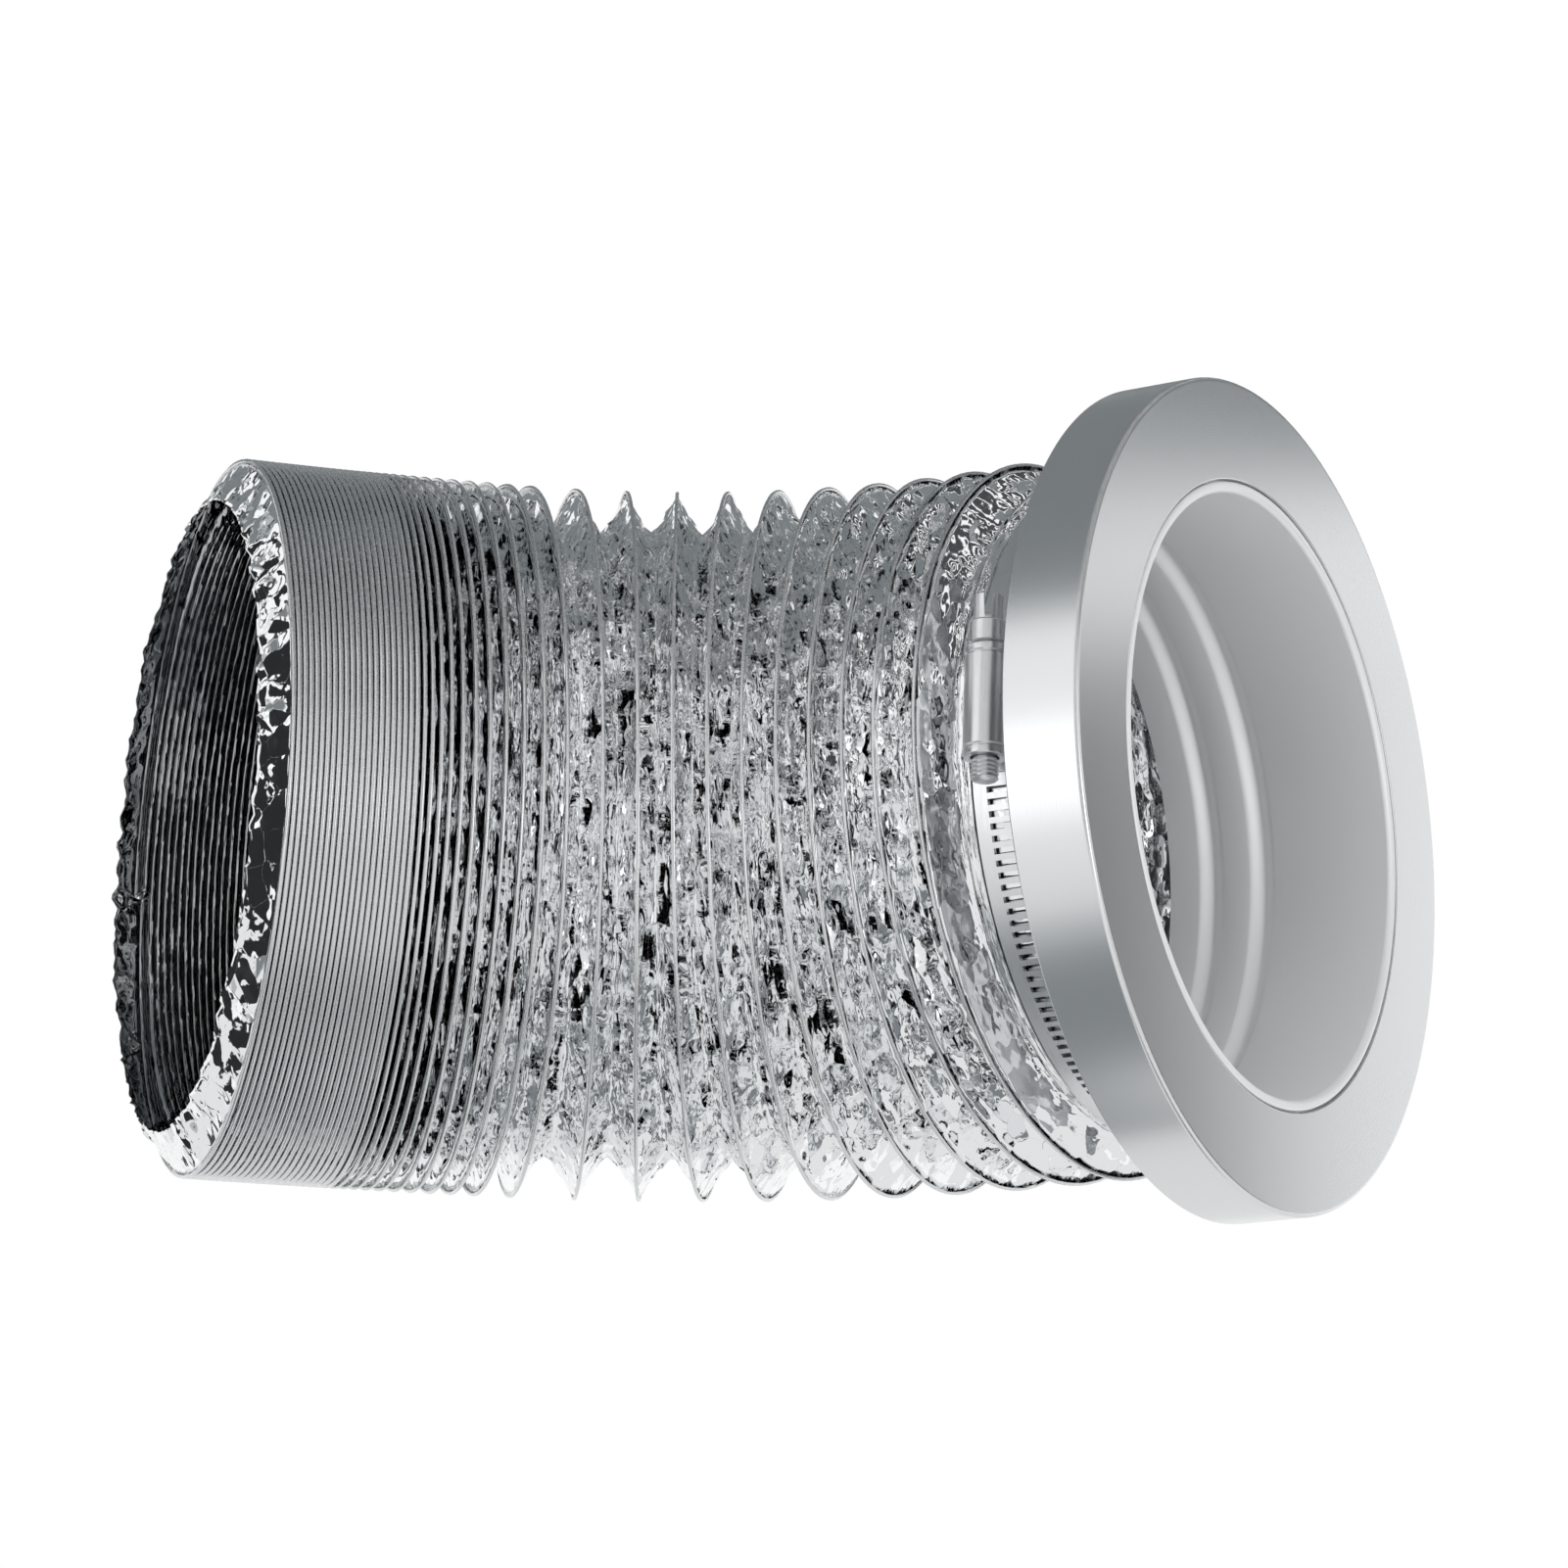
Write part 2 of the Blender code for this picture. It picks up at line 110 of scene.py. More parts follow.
def add_piece(name: str, bm: bmesh.types.BMesh, material: bpy.types.Material,
              crease: float) -> bpy.types.Object:
    """Turn a bmesh into an object at the origin.

    Args:
        name: Name of the piece.
        bm: Its mesh, which is used up.
        material: Its finish.
        crease: Angle in degrees above which an edge stays sharp.

    Returns:
        The new object.
    """
    mesh = bpy.data.meshes.new(name)
    bm.to_mesh(mesh)
    bm.free()
    mesh.shade_smooth()
    mesh.set_sharp_from_angle(angle=math.radians(crease))
    mesh.materials.append(material)
    piece = bpy.data.objects.new(name, mesh)
    bpy.context.scene.collection.objects.link(piece)
    return piece


def rounded(corners: Iterable[tuple[float, float, float]], points: int = 5, strip: float = 0.0) -> Outline:
    """Round the corners of a closed outline.

    Args:
        corners: Corners as (length, radius, fillet), with a fillet of 0 for a sharp one.
        points: Points on each rounded corner.
        strip: Width of a strip beside each rounded corner, which keeps the shading of the flats flat.

    Returns:
        The outline's points as (length, radius).
    """
    corners = list(corners)
    outline: Outline = []
    for i, (s, r, fillet) in enumerate(corners):
        here = Vector((s, r))
        if fillet <= 0:
            outline.append((s, r))
            continue
        before = (Vector(corners[i - 1][:2]) - here).normalized()
        after = (Vector(corners[(i + 1) % len(corners)][:2]) - here).normalized()
        half = before.angle(after) / 2
        reach = fillet / math.tan(half)
        centre = here + (before + after).normalized() * (fillet / math.sin(half))
        first = here + before * reach - centre
        last = here + after * reach - centre
        arc = [centre + first.lerp(last, k / (points - 1)).normalized() * fillet for k in range(points)]
        if strip > 0:
            arc = [here + before * (reach + strip), *arc, here + after * (reach + strip)]
        outline += [tuple(point) for point in arc]
    return outline


def face_outwards(bm: bmesh.types.BMesh) -> None:
    """Point the faces of an open sleeve away from its inside.

    Args:
        bm: Mesh of the sleeve.
    """
    bmesh.ops.recalc_face_normals(bm, faces=bm.faces)
    middle = sum((vert.co for vert in bm.verts), Vector()) / len(bm.verts)
    flow = sum(face.normal.dot(face.calc_center_median() - middle) * face.calc_area() for face in bm.faces)
    if flow < 0:
        bmesh.ops.reverse_faces(bm, faces=bm.faces)


def turned(outline: Outline, steps: int, axes: Optional[Matrix] = None) -> bmesh.types.BMesh:
    """Spin a closed outline round an axis.

    Args:
        outline: Points as (length along the axis, radius).
        steps: Facets of the full turn.
        axes: Placing whose X axis is the axis of the turn, or None for the flange's own axis.

    Returns:
        The closed mesh, with its faces outwards.
    """
    bm = bmesh.new()
    verts = [bm.verts.new((s, 0.0, r)) for s, r in outline]
    edges = [bm.edges.new(pair) for pair in zip(verts, verts[1:] + verts[:1])]
    bmesh.ops.spin(bm, geom=verts + edges, cent=(0, 0, 0), axis=(1, 0, 0), dvec=(0, 0, 0), angle=FULL_TURN,
                   steps=steps, use_merge=True)
    bmesh.ops.remove_doubles(bm, verts=bm.verts, dist=WELD)
    bmesh.ops.transform(bm, matrix=axes or Matrix.Diagonal((-1, 1, 1, 1)), verts=bm.verts)
    bmesh.ops.recalc_face_normals(bm, faces=bm.faces)
    return bm


def new_metal(name: str, colour: Colour) -> tuple[bpy.types.Material, bpy.types.NodeTree, bpy.types.Node]:
    """Start a metal material.

    Args:
        name: Name of the material.
        colour: Colour of the metal.

    Returns:
        The material, its node tree and its Principled shader.
    """
    material = bpy.data.materials.new(name)
    material.use_nodes = True
    tree = material.node_tree
    shader = tree.nodes["Principled BSDF"]
    shader.inputs["Base Color"].default_value = (*colour, 1.0)
    shader.inputs["Metallic"].default_value = 1.0
    return material, tree, shader


def add_bump(tree: bpy.types.NodeTree, height: bpy.types.NodeSocket, depth: float) -> bpy.types.Node:
    """Add a bump to a material.

    Args:
        tree: Node tree of the material.
        height: Socket with the height.
        depth: Depth in metres of a height of 1.

    Returns:
        The bump, whose normal isn't joined to anything yet.
    """
    bump = tree.nodes.new("ShaderNodeBump")
    bump.inputs["Distance"].default_value = depth
    tree.links.new(height, bump.inputs["Height"])
    return bump


def mark_gloss(tree: bpy.types.NodeTree, shader: bpy.types.Node, marks: bpy.types.NodeSocket,
               roughness: tuple[float, float], depth: float) -> None:
    """Let fine marks vary a metal's gloss and stand out as a bump.

    Args:
        tree: Node tree of the material.
        shader: Its Principled shader.
        marks: Socket with the noise of the marks.
        roughness: Least and greatest roughness.
        depth: Depth of the marks in metres.
    """
    gloss = tree.nodes.new("ShaderNodeMapRange")
    gloss.inputs["From Min"].default_value, gloss.inputs["From Max"].default_value = NOISE_REACH
    gloss.inputs["To Min"].default_value, gloss.inputs["To Max"].default_value = roughness
    tree.links.new(marks, gloss.inputs["Value"])
    tree.links.new(gloss.outputs["Result"], shader.inputs["Roughness"])
    tree.links.new(add_bump(tree, marks, depth).outputs["Normal"], shader.inputs["Normal"])


@dataclass(frozen=True)
class MetalFinish:
    """A bare metal with fine marks in its gloss.

    Attributes:
        name: Name of the material.
        colour: Colour of the metal.
        roughness: Least and greatest roughness.
        grain: Marks per metre along X, Y and Z of the piece.
        grain_depth: Depth of the marks in metres.
    """

    GRAIN_DETAIL = 4.0

    name: str
    colour: Colour
    roughness: tuple[float, float]
    grain: tuple[float, float, float]
    grain_depth: float

    def make(self) -> bpy.types.Material:
        """Make the material, with its grain on Object coordinates.

        Returns:
            The material.
        """
        material, tree, shader = new_metal(self.name, self.colour)
        place = tree.nodes.new("ShaderNodeTexCoord")
        mapping = tree.nodes.new("ShaderNodeMapping")
        mapping.inputs["Scale"].default_value = self.grain
        tree.links.new(place.outputs["Object"], mapping.inputs["Vector"])
        marks = tree.nodes.new("ShaderNodeTexNoise")
        marks.inputs["Scale"].default_value = 1.0
        marks.inputs["Detail"].default_value = self.GRAIN_DETAIL
        tree.links.new(mapping.outputs["Vector"], marks.inputs["Vector"])
        mark_gloss(tree, shader, marks.outputs["Fac"], self.roughness, self.grain_depth)
        return material


@dataclass(frozen=True)
class SpunFinish:
    """Satin metal turned on a lathe, with fine rings round the flange's axis.

    Attributes:
        name: Name of the material.
        colour: Colour of the metal.
        roughness: Least and greatest roughness.
        rings: Rings per metre of radius and of depth.
        ring_depth: Depth of the rings in metres.
        bareness: Share of bare metal, with the rest dulled.
    """

    RING_DETAIL = 5.0

    name: str
    colour: Colour
    roughness: tuple[float, float]
    rings: float
    ring_depth: float
    bareness: float = 1.0

    def make(self) -> bpy.types.Material:
        """Make the material, with its rings worked out from Object coordinates.

        Returns:
            The material.
        """
        material, tree, shader = new_metal(self.name, self.colour)
        shader.inputs["Metallic"].default_value = self.bareness
        place = tree.nodes.new("ShaderNodeTexCoord")
        parts = tree.nodes.new("ShaderNodeSeparateXYZ")
        tree.links.new(place.outputs["Object"], parts.inputs["Vector"])
        flat = tree.nodes.new("ShaderNodeCombineXYZ")
        tree.links.new(parts.outputs["Y"], flat.inputs["Y"])
        tree.links.new(parts.outputs["Z"], flat.inputs["Z"])
        radius = tree.nodes.new("ShaderNodeVectorMath")
        radius.operation = "LENGTH"
        tree.links.new(flat.outputs["Vector"], radius.inputs[0])
        reach = tree.nodes.new("ShaderNodeMath")
        reach.operation = "ADD"
        tree.links.new(radius.outputs["Value"], reach.inputs[0])
        tree.links.new(parts.outputs["X"], reach.inputs[1])
        rings = tree.nodes.new("ShaderNodeTexNoise")
        rings.noise_dimensions = "1D"
        rings.inputs["Scale"].default_value = self.rings
        rings.inputs["Detail"].default_value = self.RING_DETAIL
        tree.links.new(reach.outputs["Value"], rings.inputs["W"])
        mark_gloss(tree, shader, rings.outputs["Fac"], self.roughness, self.ring_depth)
        return material


@dataclass(frozen=True)
class FoilFinish:
    """Bright crumpled foil, whose dents lie on the sheet's own map in metres. Its inner side is darkened by
    painted shade.

    Attributes:
        name: Name of the material.
        colour: Colour of the foil.
        inner_shade_colour: Painted shade on its inner side: a colour darker than the foil's own, standing in for
            the shade inside the duct.
        roughness: Roughness of the foil.
        dents: Dents per metre, across the folds.
        squeeze: Dents along the folds, as a share of those across them.
        tilt: Steepest tilt of a dent's floor, as a slope.
        dent_depth: Depth of a dent in metres.
        wander: How far a dent's edge wanders, in metres.
        creases: Fine creases per metre.
        crease_depth: Depth of a crease in metres.
    """

    DENT_ROUNDING = 0.2
    CREASE_DETAIL = 3.0

    name: str
    colour: Colour
    inner_shade_colour: Colour
    roughness: float
    dents: float
    squeeze: float
    tilt: float
    dent_depth: float
    wander: float
    creases: float
    crease_depth: float

    def make(self) -> bpy.types.Material:
        """Make the material, with dents and creases as bumps on the sheet, and painted shade mixed in on the
        inner side.

        Returns:
            The material.
        """
        material, tree, shader = new_metal(self.name, self.colour)
        shader.inputs["Roughness"].default_value = self.roughness
        # Painted shade: the base colour is mixed towards a darker colour on the duct's inner side, by the share
        # in the painted shade layer.
        side = tree.nodes.new("ShaderNodeAttribute")
        side.attribute_name = FoilDuct.PAINTED_SHADE_LAYER
        shade_paint = tree.nodes.new("ShaderNodeMix")
        shade_paint.data_type = "RGBA"
        shade_paint.inputs["A"].default_value = (*self.colour, 1.0)
        shade_paint.inputs["B"].default_value = (*self.inner_shade_colour, 1.0)
        tree.links.new(side.outputs["Fac"], shade_paint.inputs["Factor"])
        tree.links.new(shade_paint.outputs["Result"], shader.inputs["Base Color"])
        place = self.wandering(tree)
        floors = self.where_slack(tree, self.tilted_floors(tree, place))
        tilted = add_bump(tree, floors, self.tilt / NOISE_MIDDLE[0])
        hollow = tree.nodes.new("ShaderNodeTexVoronoi")
        hollow.voronoi_dimensions = "2D"
        hollow.feature = "SMOOTH_F1"
        hollow.inputs["Scale"].default_value = self.dents
        hollow.inputs["Smoothness"].default_value = self.DENT_ROUNDING
        tree.links.new(place, hollow.inputs["Vector"])
        deep = add_bump(tree, self.where_slack(tree, hollow.outputs["Distance"]), self.dent_depth)
        creases = tree.nodes.new("ShaderNodeTexNoise")
        creases.inputs["Scale"].default_value = self.creases
        creases.inputs["Detail"].default_value = self.CREASE_DETAIL
        tree.links.new(place, creases.inputs["Vector"])
        fine = add_bump(tree, self.where_slack(tree, creases.outputs["Fac"]), self.crease_depth)
        tree.links.new(tilted.outputs["Normal"], deep.inputs["Normal"])
        tree.links.new(deep.outputs["Normal"], fine.inputs["Normal"])
        tree.links.new(fine.outputs["Normal"], shader.inputs["Normal"])
        return material

    @staticmethod
    def where_slack(tree: bpy.types.NodeTree, height: bpy.types.NodeSocket) -> bpy.types.NodeSocket:
        """Return a height that fades out where the foil is tight.

        Args:
            tree: Node tree of the material.
            height: Socket with the height.

        Returns:
            The socket with the faded height.
        """
        slack = tree.nodes.new("ShaderNodeAttribute")
        slack.attribute_name = FoilDuct.SLACK
        faded = tree.nodes.new("ShaderNodeMath")
        faded.operation = "MULTIPLY"
        tree.links.new(height, faded.inputs[0])
        tree.links.new(slack.outputs["Fac"], faded.inputs[1])
        return faded.outputs["Value"]

    @staticmethod
    def joined(tree: bpy.types.NodeTree, operation: str, a: bpy.types.NodeSocket,
               b: bpy.types.NodeSocket | tuple[float, float, float]) -> bpy.types.NodeSocket:
        """Return a vector operation on a socket and a socket or a constant.

        Args:
            tree: Node tree of the material.
            operation: Name of the operation.
            a: First socket.
            b: Second socket, or a constant vector.

        Returns:
            The socket with the result.
        """
        node = tree.nodes.new("ShaderNodeVectorMath")
        node.operation = operation
        tree.links.new(a, node.inputs[0])
        if isinstance(b, tuple):
            node.inputs[1].default_value = b
        else:
            tree.links.new(b, node.inputs[1])
        return node.outputs["Value" if operation == "DOT_PRODUCT" else "Vector"]

    def wandering(self, tree: bpy.types.NodeTree) -> bpy.types.NodeSocket:
        """Return the place on the sheet, moved about a little so that no dent has straight edges.

        Args:
            tree: Node tree of the material.

        Returns:
            The socket with the place, squeezed along the folds.
        """
        sheet = tree.nodes.new("ShaderNodeUVMap")
        sheet.uv_map = FoilDuct.SHEET_MAP
        drift = tree.nodes.new("ShaderNodeTexNoise")
        drift.inputs["Scale"].default_value = self.dents
        squeezed = self.joined(tree, "MULTIPLY", sheet.outputs["UV"], (self.squeeze, 1.0, 0.0))
        tree.links.new(squeezed, drift.inputs["Vector"])
        centred = self.joined(tree, "SUBTRACT", drift.outputs["Color"], NOISE_MIDDLE)
        scaled = self.joined(tree, "MULTIPLY", centred, (self.wander, self.wander, 0.0))
        return self.joined(tree, "ADD", squeezed, scaled)

    def tilted_floors(self, tree: bpy.types.NodeTree, place: bpy.types.NodeSocket) -> bpy.types.NodeSocket:
        """Return heights in metres of flat dents, each with a tilt of its own.

        Args:
            tree: Node tree of the material.
            place: Place on the sheet.

        Returns:
            The socket with the heights, for tilts up to the middle of a noise.
        """
        cells = tree.nodes.new("ShaderNodeTexVoronoi")
        cells.voronoi_dimensions = "2D"
        cells.inputs["Scale"].default_value = self.dents
        tree.links.new(place, cells.inputs["Vector"])
        from_middle = self.joined(tree, "SUBTRACT", place, cells.outputs["Position"])
        slope = self.joined(tree, "SUBTRACT", cells.outputs["Color"], NOISE_MIDDLE)
        return self.joined(tree, "DOT_PRODUCT", from_middle, slope)


@dataclass(frozen=True)
class CentreLine:
    """Centre line of the duct: straight, then an arc, then a gentler arc to the mouth.

    Attributes:
        bend_start: Length of the straight part.
        bend_length: Length of the arc.
        bend_angle: Turn of the arc, in degrees.
        tail_length: Length in which the gentler arc makes its turn.
        tail_angle: Turn of the gentler arc in that length, in degrees.
    """

    bend_start: float = 0.0315
    bend_length: float = 0.0811
    bend_angle: float = 41.5
    tail_length: float = 0.0440
    tail_angle: float = 6.9

    def heading(self, s: float) -> float:
        """Return the turn of the line at a length.

        Args:
            s: Length along the line.

        Returns:
            The turn from the flange's axis, in radians.
        """
        bend = min(max(s - self.bend_start, 0.0), self.bend_length) / self.bend_length
        tail = max(s - self.bend_start - self.bend_length, 0.0) / self.tail_length
        return math.radians(self.bend_angle * bend + self.tail_angle * tail)

    @staticmethod
    def along_arc(start: Vector, turn: float, length: float, angle: float) -> Vector:
        """Return the end of an arc.

        Args:
            start: Point at which the arc starts.
            turn: Heading of the line there, in radians.
            length: Length of the arc.
            angle: Turn of the arc, in radians.

        Returns:
            The point at which the arc ends.
        """
        radius = length / angle
        across = math.sin(turn + angle) - math.sin(turn)
        down = math.cos(turn) - math.cos(turn + angle)
        return start + Vector((-across, -down, 0)) * radius

    def centre(self, s: float) -> Vector:
        """Return the point of the line at a length.

        Args:
            s: Length along the line.

        Returns:
            The point.
        """
        point = Vector((-min(s, self.bend_start), 0, 0))
        tail_start = self.bend_start + self.bend_length
        if s > self.bend_start:
            end = min(s, tail_start)
            point = self.along_arc(point, 0.0, end - self.bend_start, self.heading(end))
        if s > tail_start:
            turn = self.heading(tail_start)
            point = self.along_arc(point, turn, s - tail_start, self.heading(s) - turn)
        return point

    def point(self, s: float, r: float, angle: float) -> Vector:
        """Return a point round the line.

        Args:
            s: Length along the line.
            r: Distance from the line.
            angle: Angle in radians, from the inner side of the bend upwards.

        Returns:
            The point.
        """
        turn = self.heading(s)
        inner_side = Vector((math.sin(turn), -math.cos(turn), 0))
        return self.centre(s) + inner_side * (r * math.cos(angle)) + Vector((0, 0, r * math.sin(angle)))


@dataclass(frozen=True)
class RibRun:
    """Run of the rib wire: a lead-in turn, open folds, closing folds and packed folds.

    Attributes:
        start: Length along the duct at which the wire starts.
        lead_in: Advance over the first turn.
        lead_out: Advance over the half turn after it.
        open_pitch: Advance of an open fold.
        open_turns: Number of open folds.
        closing_pitch: Advance of the first closing fold.
        closing_ratio: Advance of a closing fold against the one before it.
        closing_turns: Number of closing folds.
        packed_turns: Number of packed folds.
        end: Length along the duct at which the wire ends.
        half_turn: Turns between the lead-in and the open folds.
    """

    start: float = 0.0226
    lead_in: float = 0.0031
    lead_out: float = 0.0025
    open_pitch: float = 0.0085
    open_turns: int = 10
    closing_pitch: float = 0.0036
    closing_ratio: float = 0.89
    closing_turns: int = 12
    packed_turns: float = 20.5
    end: float = 0.15699
    half_turn: float = 0.5

    @property
    def closing_start(self) -> float:
        """Turn at which the folds begin to close."""
        return 1 + self.half_turn + self.open_turns

    @property
    def packed_start(self) -> float:
        """Turn at which the folds are packed."""
        return self.closing_start + self.closing_turns

    @property
    def last_turn(self) -> float:
        """Turn at which the wire ends."""
        return self.packed_start + self.packed_turns

    def closing_length(self, turns: float) -> float:
        """Return the length that a number of closing folds takes.

        Args:
            turns: Number of folds, which need not be whole.

        Returns:
            Their length along the duct.
        """
        whole = int(turns)
        done = self.closing_pitch * (1 - self.closing_ratio ** whole) / (1 - self.closing_ratio)
        return done + (turns - whole) * self.closing_pitch * self.closing_ratio ** whole

    def place(self, turn: float) -> float:
        """Return where the rib lies at a turn.

        Args:
            turn: Turns from the start of the wire.

        Returns:
            The length along the duct.
        """
        if turn < 1:
            return self.start + self.lead_in * max(turn, 0.0)
        first = self.start + self.lead_in
        after = turn - 1
        if after < self.half_turn:
            return first + self.lead_out * after / self.half_turn
        first += self.lead_out
        after -= self.half_turn
        if after < self.open_turns:
            return first + self.open_pitch * after
        first += self.open_pitch * self.open_turns
        after -= self.open_turns
        if after < self.closing_turns:
            return first + self.closing_length(after)
        first += self.closing_length(self.closing_turns)
        after -= self.closing_turns
        return first + (self.end - first) * min(after / self.packed_turns, 1.0)

    @staticmethod
    def angle(turn: float) -> float:
        """Return the angle round the duct at a turn, which starts on the far side."""
        return math.pi + FULL_TURN * turn


@dataclass
class FoilDuct:
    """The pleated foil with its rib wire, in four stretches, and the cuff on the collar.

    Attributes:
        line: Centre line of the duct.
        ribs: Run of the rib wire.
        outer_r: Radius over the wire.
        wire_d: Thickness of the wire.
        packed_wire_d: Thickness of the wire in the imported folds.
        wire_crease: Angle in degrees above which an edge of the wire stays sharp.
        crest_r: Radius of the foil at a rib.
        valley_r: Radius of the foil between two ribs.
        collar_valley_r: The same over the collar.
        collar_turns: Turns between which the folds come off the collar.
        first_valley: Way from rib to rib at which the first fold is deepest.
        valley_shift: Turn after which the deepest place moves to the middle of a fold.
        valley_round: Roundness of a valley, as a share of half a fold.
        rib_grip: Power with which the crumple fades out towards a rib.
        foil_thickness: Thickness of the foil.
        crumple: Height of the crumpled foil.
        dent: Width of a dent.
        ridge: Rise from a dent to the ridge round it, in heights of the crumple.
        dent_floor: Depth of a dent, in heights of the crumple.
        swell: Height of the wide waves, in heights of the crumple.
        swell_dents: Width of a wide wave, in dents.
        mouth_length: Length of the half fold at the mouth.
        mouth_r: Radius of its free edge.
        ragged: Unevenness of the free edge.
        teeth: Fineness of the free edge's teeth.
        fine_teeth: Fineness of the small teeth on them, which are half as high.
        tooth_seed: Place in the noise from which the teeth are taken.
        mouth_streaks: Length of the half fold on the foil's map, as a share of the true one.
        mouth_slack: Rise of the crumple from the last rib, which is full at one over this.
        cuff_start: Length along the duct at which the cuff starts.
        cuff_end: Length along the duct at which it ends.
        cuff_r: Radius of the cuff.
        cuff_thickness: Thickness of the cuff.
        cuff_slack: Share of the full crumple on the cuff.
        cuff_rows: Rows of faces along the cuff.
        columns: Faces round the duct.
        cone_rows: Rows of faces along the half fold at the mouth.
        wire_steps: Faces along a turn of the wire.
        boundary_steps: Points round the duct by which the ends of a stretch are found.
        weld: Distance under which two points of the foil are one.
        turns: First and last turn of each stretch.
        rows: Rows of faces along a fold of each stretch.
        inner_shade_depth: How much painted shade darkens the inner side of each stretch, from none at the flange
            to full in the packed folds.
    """

    SHEET_MAP = "sheet"
    # Layer with the share of painted shade on the foil's inner side.
    PAINTED_SHADE_LAYER = "inner_side"
    SLACK = "slack"
    ROUNDING = 1e-6

    line: CentreLine = field(default_factory=CentreLine)
    ribs: RibRun = field(default_factory=RibRun)
    outer_r: float = 0.0510
    wire_d: float = 0.00054
    packed_wire_d: float = 0.00068
    wire_crease: float = 60.0
    crest_r: float = 0.0505
    valley_r: float = 0.0449
    collar_valley_r: float = 0.0457
    collar_turns: tuple[float, float] = (2.0, 3.5)
    first_valley: float = 0.1
    valley_shift: float = 0.6
    valley_round: float = 0.12
    rib_grip: int = 6
    foil_thickness: float = 0.00012
    crumple: float = 0.00050
    dent: float = 0.0034
    ridge: float = 1.6
    dent_floor: float = 0.8
    swell: float = 0.5
    swell_dents: float = 2.6
    mouth_length: float = 0.0037
    mouth_r: float = 0.0449
    ragged: float = 0.0005
    teeth: float = 22.0
    fine_teeth: float = 66.0
    tooth_seed: float = 0.3
    mouth_streaks: float = 0.6
    mouth_slack: float = 3.0
    cuff_start: float = 0.0090
    cuff_end: float = 0.0226
    cuff_r: float = 0.0450
    cuff_thickness: float = 0.0004
    cuff_slack: float = 0.25
    cuff_rows: int = 14
    columns: int = 360
    cone_rows: int = 10
    wire_steps: int = 120
    boundary_steps: int = 24
    weld: float = 2e-6
    turns: dict[Stretch, tuple[int, int]] = field(default_factory=lambda: {
        Stretch.SIDE_BEND: (-1, 6), Stretch.UP_BEND: (6, 11),
        Stretch.STRETCH: (11, 22), Stretch.PACKED: (22, 43)})
    rows: dict[Stretch, int] = field(default_factory=lambda: {
        Stretch.SIDE_BEND: 14, Stretch.UP_BEND: 14, Stretch.STRETCH: 8, Stretch.PACKED: 4})
    # Painted shade on the inner side, deeper as the folds pack closer and the inside lies in shade.
    inner_shade_depth: dict[Stretch, float] = field(default_factory=lambda: {
        Stretch.SIDE_BEND: 0.0, Stretch.UP_BEND: 0.3, Stretch.STRETCH: 0.7, Stretch.PACKED: 1.0})

    @property
    def fold_length(self) -> float:
        """Length of foil in an open fold, from rib to rib."""
        return 2 * math.hypot(self.crest_r - self.valley_r, self.ribs.open_pitch / 2)

    def valley(self, turn: float) -> float:
        """Return the foil's radius between ribs, which is greater over the collar.

        Args:
            turn: Turns from the start of the wire.

        Returns:
            The radius.
        """
        first, last = self.collar_turns
        deep = smooth_step((turn - first) / (last - first))
        return self.collar_valley_r + (self.valley_r - self.collar_valley_r) * deep

    def crest(self, turn: float) -> float:
        """Return the foil's radius at a rib, which fades in behind the cuff."""
        valley = self.valley(turn)
        return valley + (self.crest_r - valley) * smooth_step(2 * turn - 1)

    def valley_part(self, turn: float) -> float:
        """Return where a fold's valley lies between its ribs, which is close to the cuff at first."""
        return self.first_valley + (0.5 - self.first_valley) * smooth_step(turn - self.valley_shift)

    def fold_point(self, column: float, row: float) -> tuple[Vector, float]:
        """Return a point of the smooth folds and how far it may crumple.

        Args:
            column: Part of a turn, from 0 to 1.
            row: Folds from the start of the wire; whole numbers are ribs.

        Returns:
            The point, and the share of the full crumple there.
        """
        fold = math.floor(row + self.ROUNDING)
        part = row - fold
        turn = fold + column
        start = self.ribs.place(turn)
        end = self.ribs.place(turn + 1)
        valley = self.valley_part(turn)
        along = 2 * part * valley if part < 0.5 else valley + (2 * part - 1) * (1 - valley)
        open_part = abs(2 * part - 1)
        bend = self.valley_round
        rise = (math.hypot(open_part, bend) - bend) / (math.hypot(1, bend) - bend)
        crest = self.crest(turn if part < 0.5 else turn + 1)
        valley_r = self.valley(turn)
        radius = valley_r + (crest - valley_r) * rise
        slack = min((end - start) / self.ribs.open_pitch, 1.0) * (1 - open_part ** self.rib_grip)
        point = self.line.point(start + (end - start) * along, radius, self.ribs.angle(turn))
        return point, slack

    def mouth_point(self, column: float, part: float) -> tuple[Vector, float]:
        """Return a point of the half fold at the mouth, whose edge is cut unevenly.

        Args:
            column: Part of a turn, from 0 to 1.
            part: Way from the last rib to the free edge, from 0 to 1.

        Returns:
            The point, and the share of the full crumple there.
        """
        turn = self.ribs.last_turn - 1 + column
        angle = self.ribs.angle(turn)
        tooth = Vector((self.teeth * math.cos(angle), self.teeth * math.sin(angle), self.tooth_seed))
        fine_tooth = tooth * (self.fine_teeth / self.teeth)
        uneven = noise.noise(tooth) + noise.noise(fine_tooth) / 2
        edge = self.ribs.end + self.mouth_length + self.ragged * uneven
        start = self.ribs.place(turn)
        radius = self.crest_r + (self.mouth_r - self.crest_r) * part
        point = self.line.point(start + (edge - start) * part, radius, angle)
        return point, min(part * self.mouth_slack, 1.0)

